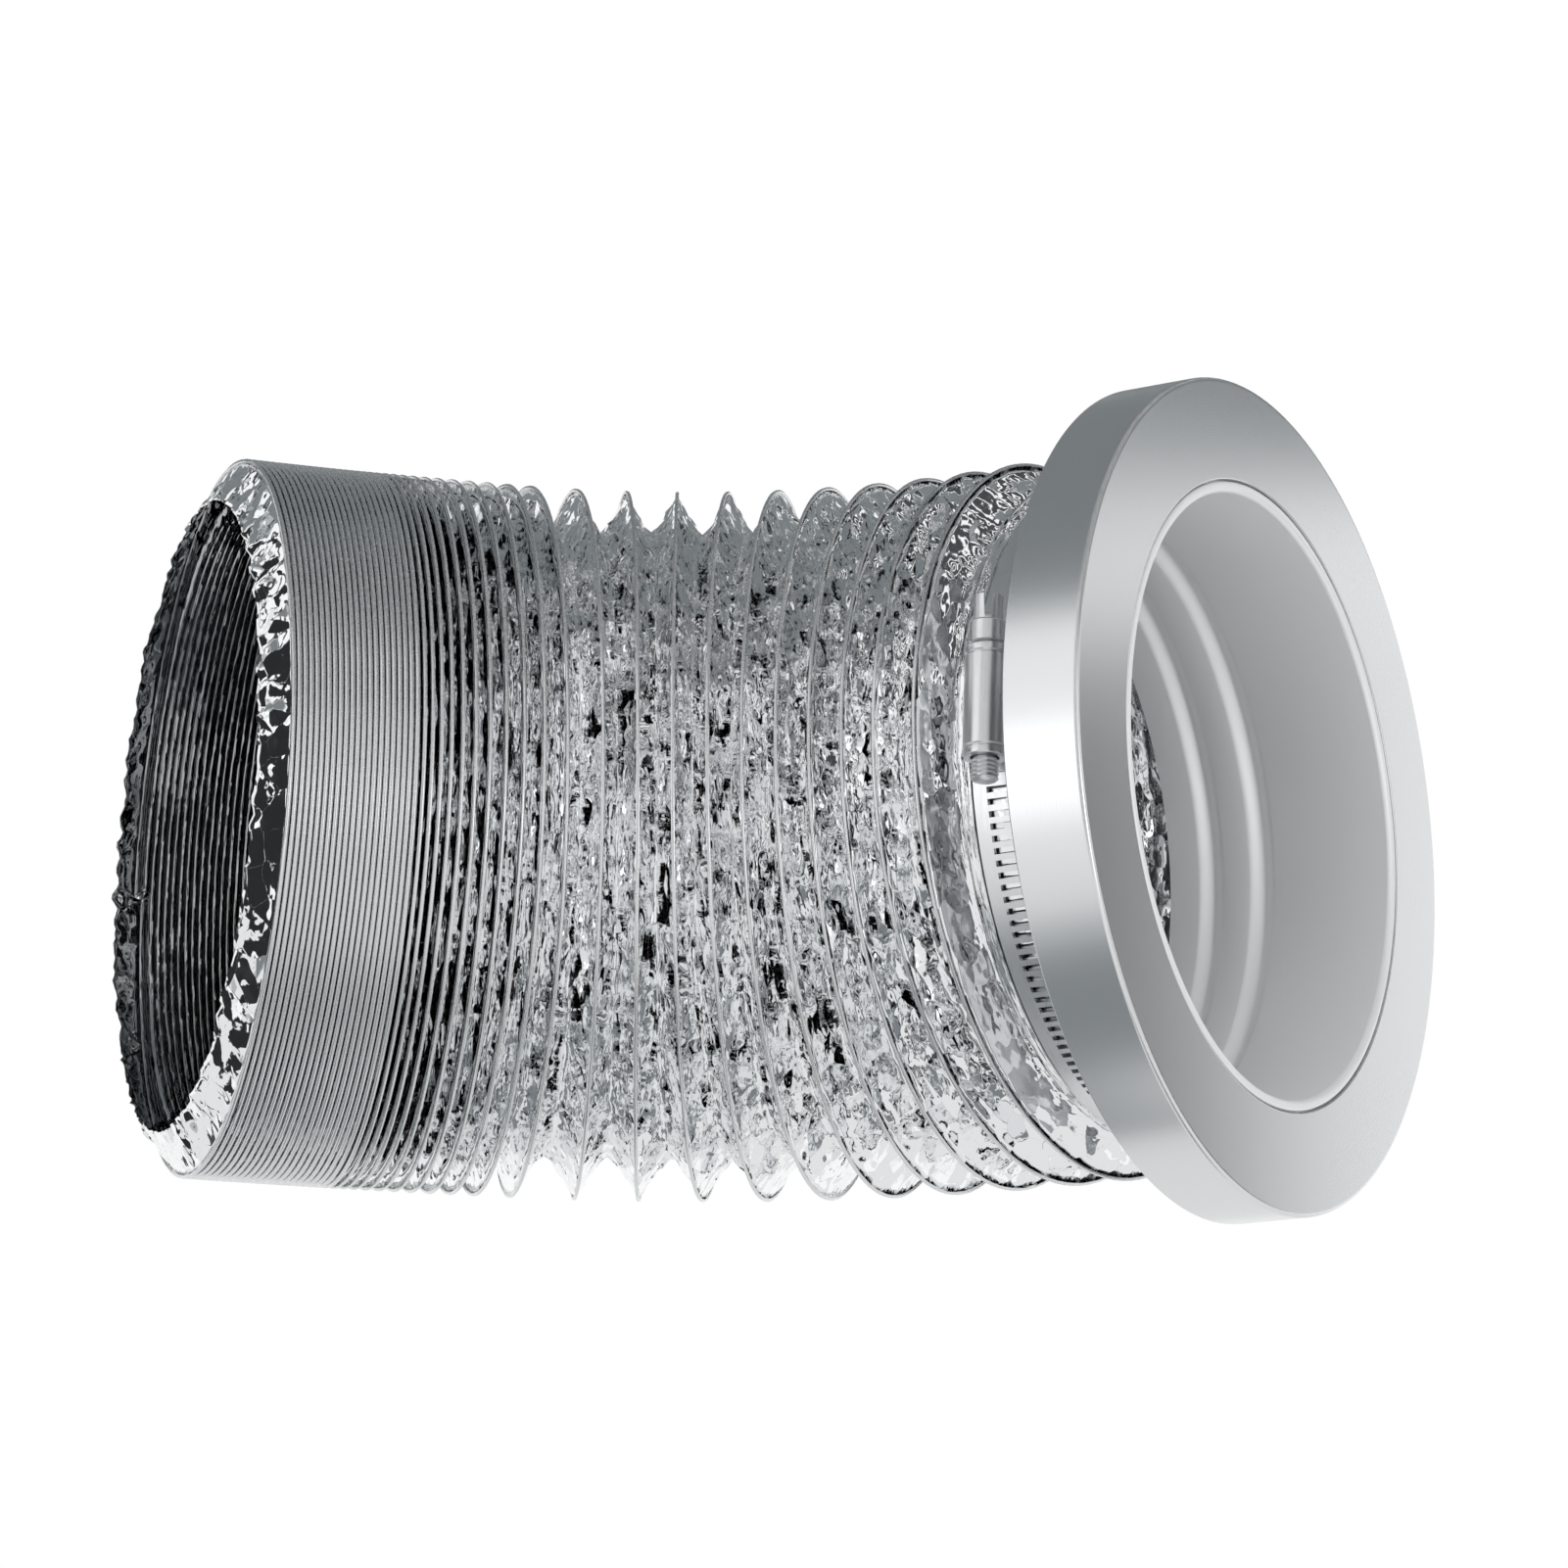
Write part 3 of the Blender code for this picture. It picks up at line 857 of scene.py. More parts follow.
    def cuff_point(self, column: float, part: float) -> tuple[Vector, float]:
        """Return a point of the cuff and how far it may crumple.

        Args:
            column: Part of a turn, from 0 to 1.
            part: Way from the start to the end of the cuff, from 0 to 1.

        Returns:
            The point, and the share of the full crumple there.
        """
        s = self.cuff_start + (self.cuff_end - self.cuff_start) * part
        return self.line.point(s, self.cuff_r, self.ribs.angle(column)), self.cuff_slack

    def crumpled(self, point: Vector) -> float:
        """Return the height of the crumpled foil at a point.

        Args:
            point: Point of the smooth foil.

        Returns:
            The height, from about -1 to 1.
        """
        near = noise.voronoi(point / self.dent)[0]
        wave = noise.noise(point / (self.swell_dents * self.dent))
        return self.ridge * (near[1] - near[0]) - self.dent_floor + self.swell * wave

    def new_sheet(self) -> bmesh.types.BMesh:
        """Start a sheet of foil.

        Returns:
            The empty mesh, with the layers that the foil's finish reads.
        """
        bm = bmesh.new()
        bm.loops.layers.uv.new(self.SHEET_MAP)
        bm.verts.layers.float.new(self.SLACK)
        bm.verts.layers.float.new(self.PAINTED_SHADE_LAYER)
        return bm

    def sheet_grid(self, rows: int, place: Callable[[float, float], tuple[Vector, float]],
                   bm: bmesh.types.BMesh, rows_per_fold: int, first: float, depth: float) -> None:
        """Add a sheet of foil that goes once round the duct.

        Args:
            rows: Rows of faces along the duct.
            place: Function that gives the point and the crumple at a column and a row.
            bm: Mesh that takes the sheet.
            rows_per_fold: Rows of faces in each fold.
            first: Fold at which the sheet starts.
            depth: Length of foil in each fold.
        """
        made = bmesh.ops.create_grid(bm, x_segments=self.columns, y_segments=rows, size=1.0)
        sheet = bm.loops.layers.uv[self.SHEET_MAP]
        spot = {}
        for vert in made["verts"]:
            column = round((vert.co.x + 1) / 2 * self.columns)
            row = round((vert.co.y + 1) / 2 * rows)
            spot[vert] = (column / self.columns, first + row / rows_per_fold)
        round_length = FULL_TURN * self.crest_r
        for face in {face for vert in made["verts"] for face in vert.link_faces}:
            fold = math.floor(sum(spot[vert][1] for vert in face.verts) / len(face.verts))
            for loop in face.loops:
                column, row = spot[loop.vert]
                loop[sheet].uv = ((fold + column) * round_length, (row - fold) * depth)
        slack = bm.verts.layers.float[self.SLACK]
        for vert, (column, row) in spot.items():
            vert.co, vert[slack] = place(column, row)
        bm.normal_update()
        for vert in spot:
            vert.co += vert.normal * (self.crumple * vert[slack] * self.crumpled(vert.co))

    def build_foil(self, part: Stretch, material: bpy.types.Material) -> bpy.types.Object:
        """Build the foil of one stretch.

        Args:
            part: The stretch.
            material: Finish of the foil.

        Returns:
            The foil, as a thin closed shell.
        """
        first, last = self.turns[part]
        bm = self.new_sheet()
        self.sheet_grid((last - first) * self.rows[part], self.fold_point, bm, self.rows[part], first,
                        self.fold_length)
        if part is Stretch.PACKED:
            cone_length = math.hypot(self.crest_r - self.mouth_r, self.mouth_length)
            self.sheet_grid(self.cone_rows, self.mouth_point, bm, self.cone_rows, 0,
                            self.mouth_streaks * cone_length)
        bmesh.ops.remove_doubles(bm, verts=bm.verts, dist=self.weld)
        if part is Stretch.PACKED:
            step_sides = 2 * self.cone_rows + 2 * self.rows[part]
            rims = [edge for edge in bm.edges if edge.is_boundary]
            bmesh.ops.holes_fill(bm, edges=rims, sides=step_sides)
        face_outwards(bm)
        outer_side = set(bm.verts)
        bmesh.ops.solidify(bm, geom=bm.faces, thickness=self.foil_thickness)
        # The inner side gets painted shade, deeper in the packed stretches; the outer side gets none.
        inner_side = bm.verts.layers.float[self.PAINTED_SHADE_LAYER]
        for vert in bm.verts:
            vert[inner_side] = 0.0 if vert in outer_side else self.inner_shade_depth[part]
        return add_piece(f"{part.label}_foil", bm, material, ALL_SMOOTH)

    def build_wire(self, part: Stretch, material: bpy.types.Material) -> bpy.types.Object:
        """Build the rib wire of one stretch.

        Args:
            part: The stretch.
            material: Finish of the wire.

        Returns:
            The wire, as one tube.
        """
        first, last = self.turns[part]
        first = max(first, 1)
        last = self.ribs.last_turn if part is Stretch.PACKED else last
        count = round((last - first) * self.wire_steps) + 1
        bend = bpy.data.curves.new(f"{part.label}_wire_path", "CURVE")
        bend.dimensions = "3D"
        bend.bevel_depth = (self.packed_wire_d if part is Stretch.PACKED else self.wire_d) / 2
        bend.bevel_resolution = 1
        bend.use_fill_caps = True
        spline = bend.splines.new("POLY")
        spline.points.add(count - 1)
        for i, point in enumerate(spline.points):
            turn = first + i / self.wire_steps
            radius = self.outer_r - bend.bevel_depth
            point.co = (*self.line.point(self.ribs.place(turn), radius, self.ribs.angle(turn)), 1.0)
        path = bpy.data.objects.new(bend.name, bend)
        bm = bmesh.new()
        bm.from_mesh(path.to_mesh())
        path.to_mesh_clear()
        bpy.data.objects.remove(path)
        bpy.data.curves.remove(bend)
        bmesh.ops.recalc_face_normals(bm, faces=bm.faces)
        return add_piece(f"{part.label}_wire", bm, material, self.wire_crease)

    def build_cuff(self, material: bpy.types.Material) -> bpy.types.Object:
        """Build the plain end of the foil on the collar, with small dents.

        Args:
            material: Finish of the foil.

        Returns:
            The cuff, as a thin closed shell.
        """
        bm = self.new_sheet()
        length = self.cuff_end - self.cuff_start
        self.sheet_grid(self.cuff_rows, self.cuff_point, bm, self.cuff_rows, 0, length)
        bmesh.ops.remove_doubles(bm, verts=bm.verts, dist=self.weld)
        face_outwards(bm)
        bmesh.ops.solidify(bm, geom=bm.faces, thickness=self.cuff_thickness)
        return add_piece("cuff_sleeve", bm, material, ALL_SMOOTH)

    def boundary(self, turn: float) -> list[Vector]:
        """Return points round the duct along one turn of the wire.

        Args:
            turn: Turn at which they start.

        Returns:
            The points.
        """
        turns = [turn + i / self.boundary_steps for i in range(self.boundary_steps + 1)]
        return [self.line.point(self.ribs.place(t), self.crest_r, self.ribs.angle(t)) for t in turns]

    def dress(self, piece: bpy.types.Object, part: Stretch) -> None:
        """Make a piece follow the bodies of its stretch.

        Args:
            piece: Foil or wire of the stretch.
            part: The stretch.
        """
        before, after = part.bodies
        if before == after:
            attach(piece, after)
            return
        first, last = self.turns[part]
        first_s, last_s = self.ribs.place(first), self.ribs.place(last)
        along = (self.line.centre(last_s) - self.line.centre(first_s)).normalized()
        start = max(point.dot(along) for point in self.boundary(first))
        end = min(point.dot(along) for point in self.boundary(last))
        middle = self.line.centre((first_s + last_s) / 2)
        middle -= along * middle.dot(along)
        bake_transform(piece, before, after, start=tuple(middle + along * start), end=tuple(middle + along * end))

    def build(self, foil: FoilFinish, wire: MetalFinish) -> list[bpy.types.Object]:
        """Build the whole duct.

        Args:
            foil: Finish of the foil.
            wire: Finish of the wire.

        Returns:
            The new pieces.
        """
        foil_material = foil.make()
        wire_material = wire.make()
        pieces = []
        for part in Stretch:
            sheet = self.build_foil(part, foil_material)
            self.dress(sheet, part)
            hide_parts(f"foil_{part.label}")
            rib = self.build_wire(part, wire_material)
            self.dress(rib, part)
            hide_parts(f"wire_{part.label}")
            pieces += [sheet, rib]
        cuff = self.build_cuff(foil_material)
        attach(cuff, "flange")
        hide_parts("cuff_foil")
        return [*pieces, cuff]


@dataclass
class WallFlange:
    """The spun flange: a flat ring with a turned-back rim, and the beaded collar in its hole.

    Attributes:
        outer_r: Outer radius of the rim.
        sheet: Thickness of the metal.
        rim_depth: Depth of the rim behind the face.
        edge: Fillet between the face and the rim.
        back_edge: Fillet of the rim's free edge and of the corner behind the face.
        hole_edge: Fillet of the hole's edges.
        strip: Width of the strips beside the fillets, which keep the flats flat.
        collar_r: Outer radius of the collar.
        bore_r: Inner radius of the collar.
        collar_length: Length of the collar behind the face.
        lip: Width of the collar's rolled lip.
        lip_steps: Facets of a quarter of the lip's round.
        shoulder: Height of the shoulder behind the plate.
        shoulder_length: Thickness of the shoulder.
        bead_height: Height of a rolled bead.
        bead_width: Width of a rolled bead.
        bead_points: Facets across a rolled bead.
        bead_places: Distance of each bead from the face.
        crease: Angle in degrees above which an edge stays sharp.
        steps: Facets round the flange.
    """

    outer_r: float = 0.0584
    sheet: float = 0.0010
    rim_depth: float = 0.0110
    edge: float = 0.0006
    back_edge: float = 0.0002
    hole_edge: float = 0.00015
    strip: float = 0.00008
    collar_r: float = 0.0431
    bore_r: float = 0.0423
    collar_length: float = 0.0355
    lip: float = 0.0007
    lip_steps: int = 3
    shoulder: float = 0.0020
    shoulder_length: float = 0.0008
    bead_height: float = 0.0013
    bead_width: float = 0.0043
    bead_points: int = 12
    bead_places: tuple[float, float] = (0.0206, 0.0288)
    crease: float = 40.0
    steps: int = 192

    def build_plate(self, material: bpy.types.Material) -> bpy.types.Object:
        """Build the flat ring with its rim.

        Args:
            material: Finish of the ring.

        Returns:
            The ring.
        """
        hole_r = self.collar_r + self.lip + CLEARANCE
        inner_r = self.outer_r - self.sheet
        outline = rounded([
            (0.0, hole_r, self.hole_edge), (0.0, self.outer_r, self.edge),
            (self.rim_depth, self.outer_r, self.back_edge), (self.rim_depth, inner_r, self.back_edge),
            (self.sheet, inner_r, self.back_edge), (self.sheet, hole_r, self.hole_edge)],
            strip=self.strip)
        return add_piece("flange_ring", turned(outline, self.steps), material, self.crease)

    def bead(self, centre: float, wall_r: float) -> Outline:
        """Return the outline of one rolled bead on a wall.

        Args:
            centre: Distance of the bead's middle from the face.
            wall_r: Radius of the wall.

        Returns:
            The points of the bead, away from the face.
        """
        count = self.bead_points
        rises = [(i / count, (1 - math.cos(FULL_TURN * i / count)) / 2) for i in range(count + 1)]
        return [(centre + self.bead_width * (x - 0.5), wall_r + self.bead_height * rise) for x, rise in rises]

    def build_collar(self, material: bpy.types.Material) -> bpy.types.Object:
        """Build the collar with its lip, its shoulder behind the plate and its two beads.

        Args:
            material: Finish of the collar.

        Returns:
            The collar.
        """
        seat = self.sheet + CLEARANCE
        lip_r = self.collar_r + self.lip
        shoulder_r = self.collar_r + self.shoulder
        quarter = [FULL_TURN / 4 * i / self.lip_steps for i in range(self.lip_steps + 1)]
        edge = self.lip / 2
        outer = [(edge * (1 - math.cos(a)), lip_r - edge * (1 - math.sin(a))) for a in quarter]
        outer += [(seat, lip_r), (seat, shoulder_r), (seat + self.shoulder_length, shoulder_r),
                  (seat + self.shoulder_length, self.collar_r)]
        inner: Outline = []
        for centre in self.bead_places:
            outer += self.bead(centre, self.collar_r)
            inner += self.bead(centre, self.bore_r)
        end = [(self.collar_length, self.collar_r), (self.collar_length, self.bore_r)]
        mouth = [(self.lip + self.strip, self.bore_r)]
        mouth += [(self.lip * (1 - math.sin(a)), self.bore_r + self.lip * (1 - math.cos(a))) for a in quarter]
        tube = turned(outer + end + inner[::-1] + mouth, self.steps)
        return add_piece("collar_tube", tube, material, self.crease)

    def build(self, plate: SpunFinish, collar: SpunFinish) -> list[bpy.types.Object]:
        """Build the flange and ride it on its body.

        Args:
            plate: Finish of the flat ring.
            collar: Finish of the collar.

        Returns:
            The new pieces.
        """
        ring = self.build_plate(plate.make())
        tube = self.build_collar(collar.make())
        for piece, node, slot in ((ring, "flange_plate", "flange"), (tube, "collar", "collar")):
            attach(piece, "flange")
            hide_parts(node)
        return [ring, tube]


@dataclass
class WormClamp:
    """The slotted band with its worm screw and housing.

    Attributes:
        band_inner_r: Inner radius of the band.
        band_thickness: Thickness of the band.
        band_width: Width of the band.
        band_edge: Part of the half width at which the flat of the band ends.
        band_centre: Distance of the band's middle from the flange's face.
        band_gap: Opening of the band under the screw, in degrees.
        slot_length: Length of a slot of the band.
        slot_pitch: Distance from slot to slot.
        slot_count: Number of slots.
        slot_first: Angle of the first slot, in degrees above the middle of the near side.
        screw_angle: Angle of the screw, likewise.
        screw_axis_r: Distance of the screw's axis from the duct's.
        housing_r: Outer radius of the housing.
        housing_bore_r: Inner radius of the housing.
        housing_length: Length of the housing.
        groove: Depth and half width of the grooves round the housing.
        groove_place: Distance of a groove from the housing's end.
        shaft_r: Radius of the screw in the housing.
        head_r: Radius of the screw's head.
        head_length: Length of the head with its collar.
        head_collar_r: Radius of the collar under the head.
        head_collar_length: Length of that collar.
        slot_width: Width of the head's slot.
        slot_depth: Depth of the head's slot.
        slot_turn: Turn of the head's slot, in degrees.
        thread_r: Radius over the threaded end.
        thread_length: Length of the threaded end.
        thread_height: Height of the thread and of the head's chamfers.
        thread_tip: Radius of the end, as a share of the thread's root.
        thread_ridges: Ridges of the thread.
        ridge_span: Way from ridge to ridge at which a ridge starts to rise and is highest.
        axis_r: Radius at which the screw's ends close.
        band_crease: Angle in degrees above which an edge of the band stays sharp.
        housing_crease: The same for the housing.
        screw_crease: The same for the screw.
        steps: Facets round the housing and the screw.
    """

    band_inner_r: float = 0.0455
    band_thickness: float = 0.0007
    band_width: float = 0.0090
    band_edge: float = 0.95
    band_centre: float = 0.0175
    band_gap: float = 4.0
    slot_length: float = 0.0050
    slot_pitch: float = 0.00165
    slot_count: int = 32
    slot_first: float = -10.0
    screw_angle: float = 3.0
    screw_axis_r: float = 0.0504
    housing_r: float = 0.0030
    housing_bore_r: float = 0.00195
    housing_length: float = 0.0155
    groove: float = 0.00025
    groove_place: float = 0.00125
    shaft_r: float = 0.0016
    head_r: float = 0.0020
    head_length: float = 0.0070
    head_collar_r: float = 0.0025
    head_collar_length: float = 0.0032
    slot_width: float = 0.0011
    slot_depth: float = 0.0030
    slot_turn: float = 30.0
    thread_r: float = 0.0019
    thread_length: float = 0.0030
    thread_height: float = 0.00025
    thread_tip: float = 0.6
    thread_ridges: int = 5
    ridge_span: tuple[float, float] = (0.4, 0.8)
    axis_r: float = 1e-5
    band_crease: float = 30.0
    housing_crease: float = 40.0
    screw_crease: float = 35.0
    steps: int = 48

    def build_band(self, material: bpy.types.Material) -> bpy.types.Object:
        """Build the strip, with its slots cut through.

        Args:
            material: Finish of the strip.

        Returns:
            The strip.
        """
        outer_r = self.band_inner_r + self.band_thickness
        step = math.degrees(self.slot_pitch / outer_r) / 2
        steps = round((360 - self.band_gap) / step)
        half = self.band_width / 2
        cut = self.slot_length / 2
        flat = half * self.band_edge
        places = [self.band_centre + x for x in (-half, -flat, -cut, cut, flat, half)]
        first = math.radians(self.screw_angle + self.band_gap / 2)
        y, z = -self.band_inner_r * math.cos(first), self.band_inner_r * math.sin(first)
        bm = bmesh.new()
        row = [bm.verts.new((-s, y, z)) for s in places]
        edges = [bm.edges.new(pair) for pair in zip(row, row[1:])]
        bmesh.ops.spin(bm, geom=row + edges, cent=(0, 0, 0), axis=(-1, 0, 0), dvec=(0, 0, 0),
                       angle=math.radians(step) * steps, steps=steps)
        slots = []
        for face in bm.faces:
            middle = face.calc_center_median()
            angle = math.degrees(math.atan2(middle.z, -middle.y))
            number = (self.slot_first - angle) / step
            if -0.5 < number < 2 * self.slot_count and round(number) % 2 == 0:
                if abs(-middle.x - self.band_centre) < cut:
                    slots.append(face)
        bmesh.ops.delete(bm, geom=slots, context="FACES")
        bmesh.ops.recalc_face_normals(bm, faces=bm.faces)
        bmesh.ops.solidify(bm, geom=bm.faces, thickness=-self.band_thickness)
        bmesh.ops.recalc_face_normals(bm, faces=bm.faces)
        return add_piece("clamp_strip", bm, material, self.band_crease)

    def screw_axes(self) -> Matrix:
        """Return the placing of the screw.

        Returns:
            The placing, with X along the screw and Y out from the duct.
        """
        angle = math.radians(self.screw_angle)
        out = Vector((0, -math.cos(angle), math.sin(angle)))
        up = Vector((0, math.sin(angle), math.cos(angle)))
        axes = Matrix((up, out, up.cross(out))).transposed().to_4x4()
        axes.translation = Vector((-self.band_centre, 0, 0)) + out * self.screw_axis_r
        return axes

    def build_housing(self, material: bpy.types.Material) -> bpy.types.Object:
        """Build the tube that holds the screw, with a groove near each end.

        Args:
            material: Finish of the housing.

        Returns:
            The housing.
        """
        top = self.housing_length / 2
        groove = self.groove
        outer = self.housing_r
        soft = groove / 4
        corners = [(-top, self.housing_bore_r, groove / 2), (-top, outer, groove)]
        for neck in (self.groove_place - top, top - self.groove_place):
            corners += [(neck - groove, outer, soft), (neck, outer - groove, soft),
                        (neck + groove, outer, soft)]
        corners += [(top, outer, groove), (top, self.housing_bore_r, groove / 2)]
        barrel = turned(rounded(corners, points=4), self.steps, self.screw_axes())
        return add_piece("clamp_barrel", barrel, material, self.housing_crease)

    def build_screw(self, material: bpy.types.Material) -> bpy.types.Object:
        """Build the worm screw with its slotted head and its threaded end.

        Args:
            material: Finish of the screw.

        Returns:
            The screw.
        """
        top = self.housing_length / 2 + CLEARANCE
        pitch = self.thread_length / self.thread_ridges
        root_r = self.thread_r - self.thread_height
        low = -top - self.thread_length
        rise, crest = self.ridge_span
        outline: Outline = [(low, self.axis_r), (low, root_r * self.thread_tip)]
        for i in range(self.thread_ridges):
            outline += [(low + pitch * (i + rise), root_r), (low + pitch * (i + crest), self.thread_r)]
        collar = top + self.head_collar_length
        head = top + self.head_length
        chamfer = self.thread_height
        outline += [(-top, root_r), (-top, self.shaft_r), (top, self.shaft_r),
                    (top, self.head_collar_r - chamfer), (top + chamfer, self.head_collar_r),
                    (collar - chamfer, self.head_collar_r), (collar, self.head_collar_r - chamfer),
                    (collar, self.head_r), (head - chamfer, self.head_r), (head, self.head_r - chamfer),
                    (head, self.axis_r)]
        axes = self.screw_axes()
        screw = add_piece("worm_screw", turned(outline, self.steps, axes), material, self.screw_crease)
        cutter = bmesh.new()
        size = Matrix.Diagonal((2 * self.slot_depth, 4 * self.head_r, self.slot_width, 1.0))
        turn = Matrix.Rotation(math.radians(self.slot_turn), 4, "X")
        place = axes @ Matrix.Translation((head, 0, 0)) @ turn @ size
        bmesh.ops.create_cube(cutter, size=1.0, matrix=place)
        blade = add_piece("slot_cutter", cutter, material, self.screw_crease)
        carve = screw.modifiers.new("slot", "BOOLEAN")
        carve.operation = "DIFFERENCE"
        carve.solver = "EXACT"
        carve.object = blade
        carved = screw.evaluated_get(bpy.context.evaluated_depsgraph_get())
        slotted = bpy.data.meshes.new_from_object(carved)
        screw.modifiers.clear()
        screw.data = slotted
        bpy.data.objects.remove(blade)
        return screw

    def build(self, steel: MetalFinish, screw_steel: MetalFinish) -> list[bpy.types.Object]:
        """Build the clamp and ride it on its bodies.

        Args:
            steel: Finish of the band, the saddle and the housing.
            screw_steel: Finish of the screw.

        Returns:
            The new pieces.
        """
        bright = steel.make()
        band = self.build_band(bright)
        barrel = self.build_housing(bright)
        screw = self.build_screw(screw_steel.make())
        dressings = ((band, "clamp_band", "flange", "clamp"), (barrel, "clamp_housing", "flange", "clamp"),
                     (screw, "clamp_screw", "screw", "screw"))
        for piece, node, body, slot in dressings:
            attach(piece, body)
            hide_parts(node)
        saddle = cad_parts["clamp_saddle"]
        saddle.data.materials.clear()
        saddle.data.materials.append(bright)
        return [band, barrel, screw]


@dataclass(frozen=True)
class Card:
    """A dark card of the studio: a band of a dome round the flange.

    Attributes:
        name: Name of the card.
        elevations: Lowest and highest angle above the horizon, in degrees.
        azimuths: First and last angle from the front towards the right, in degrees.
        away: Distance from the flange.
        shade: Colour of the card.
    """

    name: str
    elevations: tuple[float, float]
    azimuths: tuple[float, float]
    away: float
    shade: Colour


@dataclass(frozen=True)
class Flag:
    """A flat dark card close to the object.

    Attributes:
        name: Name of the card.
        centre: Its middle.
        facing: Direction that it faces.
        size: Its width and height.
        shade: Colour of the card.
    """

    name: str
    centre: tuple[float, float, float]
    facing: tuple[float, float, float]
    size: tuple[float, float]
    shade: Colour


@dataclass(frozen=True)
class Lamp:
    """A soft square lamp that faces the object.

    Attributes:
        name: Name of the lamp.
        place: Where it stands.
        size: Side of its square.
        power: Its power in watts.
    """

    name: str
    place: tuple[float, float, float]
    size: float
    power: float


PALE_CARD = (0.52, 0.545, 0.55)
GREY_CARD = (0.24, 0.26, 0.268)
SLAT_CARD = (0.075, 0.080, 0.083)
DARK_CARD = (0.03, 0.032, 0.034)
PALE_FLOOR = (0.86, 0.86, 0.86)
DOME_AWAY = 0.9
LOW_AWAY = 0.42


@dataclass
class Studio:
    """Camera, floor, white surroundings, lamps and the dark cards that the metal mirrors.

    Attributes:
        azimuth: Angle of the camera from the front towards the right, in degrees.
        elevation: Angle of the camera above the horizon, in degrees.
        roll: Turn of the camera about its own view, in degrees.
        distance: Distance of the camera from the flange.
        aside: Shift of the camera to its right.
        above: Shift of the camera upwards.
        focal_px: Focal length in pixels of the picture.
        image_px: Width of the picture in pixels.
        sensor: Width of the camera's sensor in millimetres.
        clip: Nearest and farthest distance that the camera sees.
        floor_z: Height of the floor.
        floor_size: Side of the floor.
        fill: Strength of the white that lights the object.
        matt_roughness: Roughness of the paint of floor and cards.
        cards: Wide cards.
        card_rows: Points from the lowest to the highest edge of a card.
        card_step: Degrees along a card to each of its faces.
        card_steps: Least number of faces along a card.
        card_weld: Distance under which two points of a card are one.
        posts: Azimuths of the upright narrow cards.
        post_width: Their width in degrees.
        post_reach: Their lowest and highest elevation.
        slats: Azimuths of the narrow cards overhead.
        floor_slats: Azimuths of the narrow cards below.
        slat_width: Width of both in degrees.
        slat_reach: Lowest and highest elevation of those overhead.
        floor_slat_reach: Lowest and highest elevation of those below.
        flags: Flat cards close to the object.
        lamps: The lamps.
        lamp_aim: Point of the object that the lamps face.
    """

    azimuth: float = 30.092
    elevation: float = -15.522
    roll: float = 0.528
    distance: float = 0.7205
    aside: float = -0.06693
    above: float = 0.00151
    focal_px: float = 5326.0
    image_px: float = 1601.0
    sensor: float = 36.0
    clip: tuple[float, float] = (0.01, 50.0)
    floor_z: float = -0.45
    floor_size: float = 6.0
    fill: float = 0.95
    matt_roughness: float = 0.9
    cards: tuple[Card, ...] = (
        Card("roof_card", (39, 89.9), (-180, -20), DOME_AWAY, GREY_CARD),
        Card("roof_edge", (34, 39), (-150, -20), DOME_AWAY, PALE_CARD),
        Card("back_card", (25, 38), (100, 260), DOME_AWAY, GREY_CARD),
        Card("right_card", (24, 38), (52, 88), DOME_AWAY, GREY_CARD),
        Card("low_card", (-67, -42), (-122, -5), LOW_AWAY, GREY_CARD),
        Card("low_edge", (-42, -36), (-122, -5), LOW_AWAY, PALE_CARD),
    )
    card_rows: int = 6
    card_step: float = 6.0
    card_steps: int = 4
    card_weld: float = 1e-5
    posts: tuple[float, ...] = (-98, -76, -56, 0, 17, 33, 48, 92, 110)
    post_width: float = 6.0
    post_reach: tuple[float, float] = (-22, 37)
    slats: tuple[float, ...] = tuple(range(-10, 190, 20))
    floor_slats: tuple[float, ...] = tuple(range(30, 190, 20))
    slat_width: float = 13.5
    slat_reach: tuple[float, float] = (39, 88)
    floor_slat_reach: tuple[float, float] = (-84, -60)
    flags: tuple[Flag, ...] = (
        Flag("mouth_flag", (-0.224, -0.148, 0.0), (0.683, 0.730, 0.0), (0.17, 0.17), DARK_CARD),
        Flag("face_top_flag", (0.110, 0.220, 0.194), (-0.42, -0.86, -0.28), (0.30, 0.12), GREY_CARD),
        Flag("face_side_flag", (0.153, 0.192, 0.010), (-0.43, -0.90, 0.0), (0.10, 0.170), DARK_CARD),
    )
    lamps: tuple[Lamp, ...] = (
        Lamp("key_lamp", (-0.77, -1.25, -0.06), 0.6, 0.7),
        Lamp("side_lamp", (1.21, -0.59, -0.20), 0.5, 1.0),
    )
    lamp_aim: tuple[float, float, float] = (-0.07, -0.02, 0.0)

    def add_camera(self) -> None:
        """Set up the camera of the photograph's view."""
        a = math.radians(self.azimuth)
        e = math.radians(self.elevation)
        tilt = math.radians(self.roll)
        back = Vector((math.sin(a) * math.cos(e), -math.cos(a) * math.cos(e), math.sin(e)))
        right = Vector((math.cos(a), math.sin(a), 0))
        up = back.cross(right)
        side = right * math.cos(tilt) + up * math.sin(tilt)
        top = up * math.cos(tilt) - right * math.sin(tilt)
        data = bpy.data.cameras.new("view")
        data.sensor_fit = "HORIZONTAL"
        data.sensor_width = self.sensor
        data.lens = self.sensor * self.focal_px / self.image_px
        data.clip_start, data.clip_end = self.clip
        camera = bpy.data.objects.new("view", data)
        place = Matrix((side, top, back)).transposed().to_4x4()
        place.translation = back * self.distance + side * self.aside + top * self.above
        camera.matrix_world = place
        bpy.context.scene.collection.objects.link(camera)
        bpy.context.scene.camera = camera

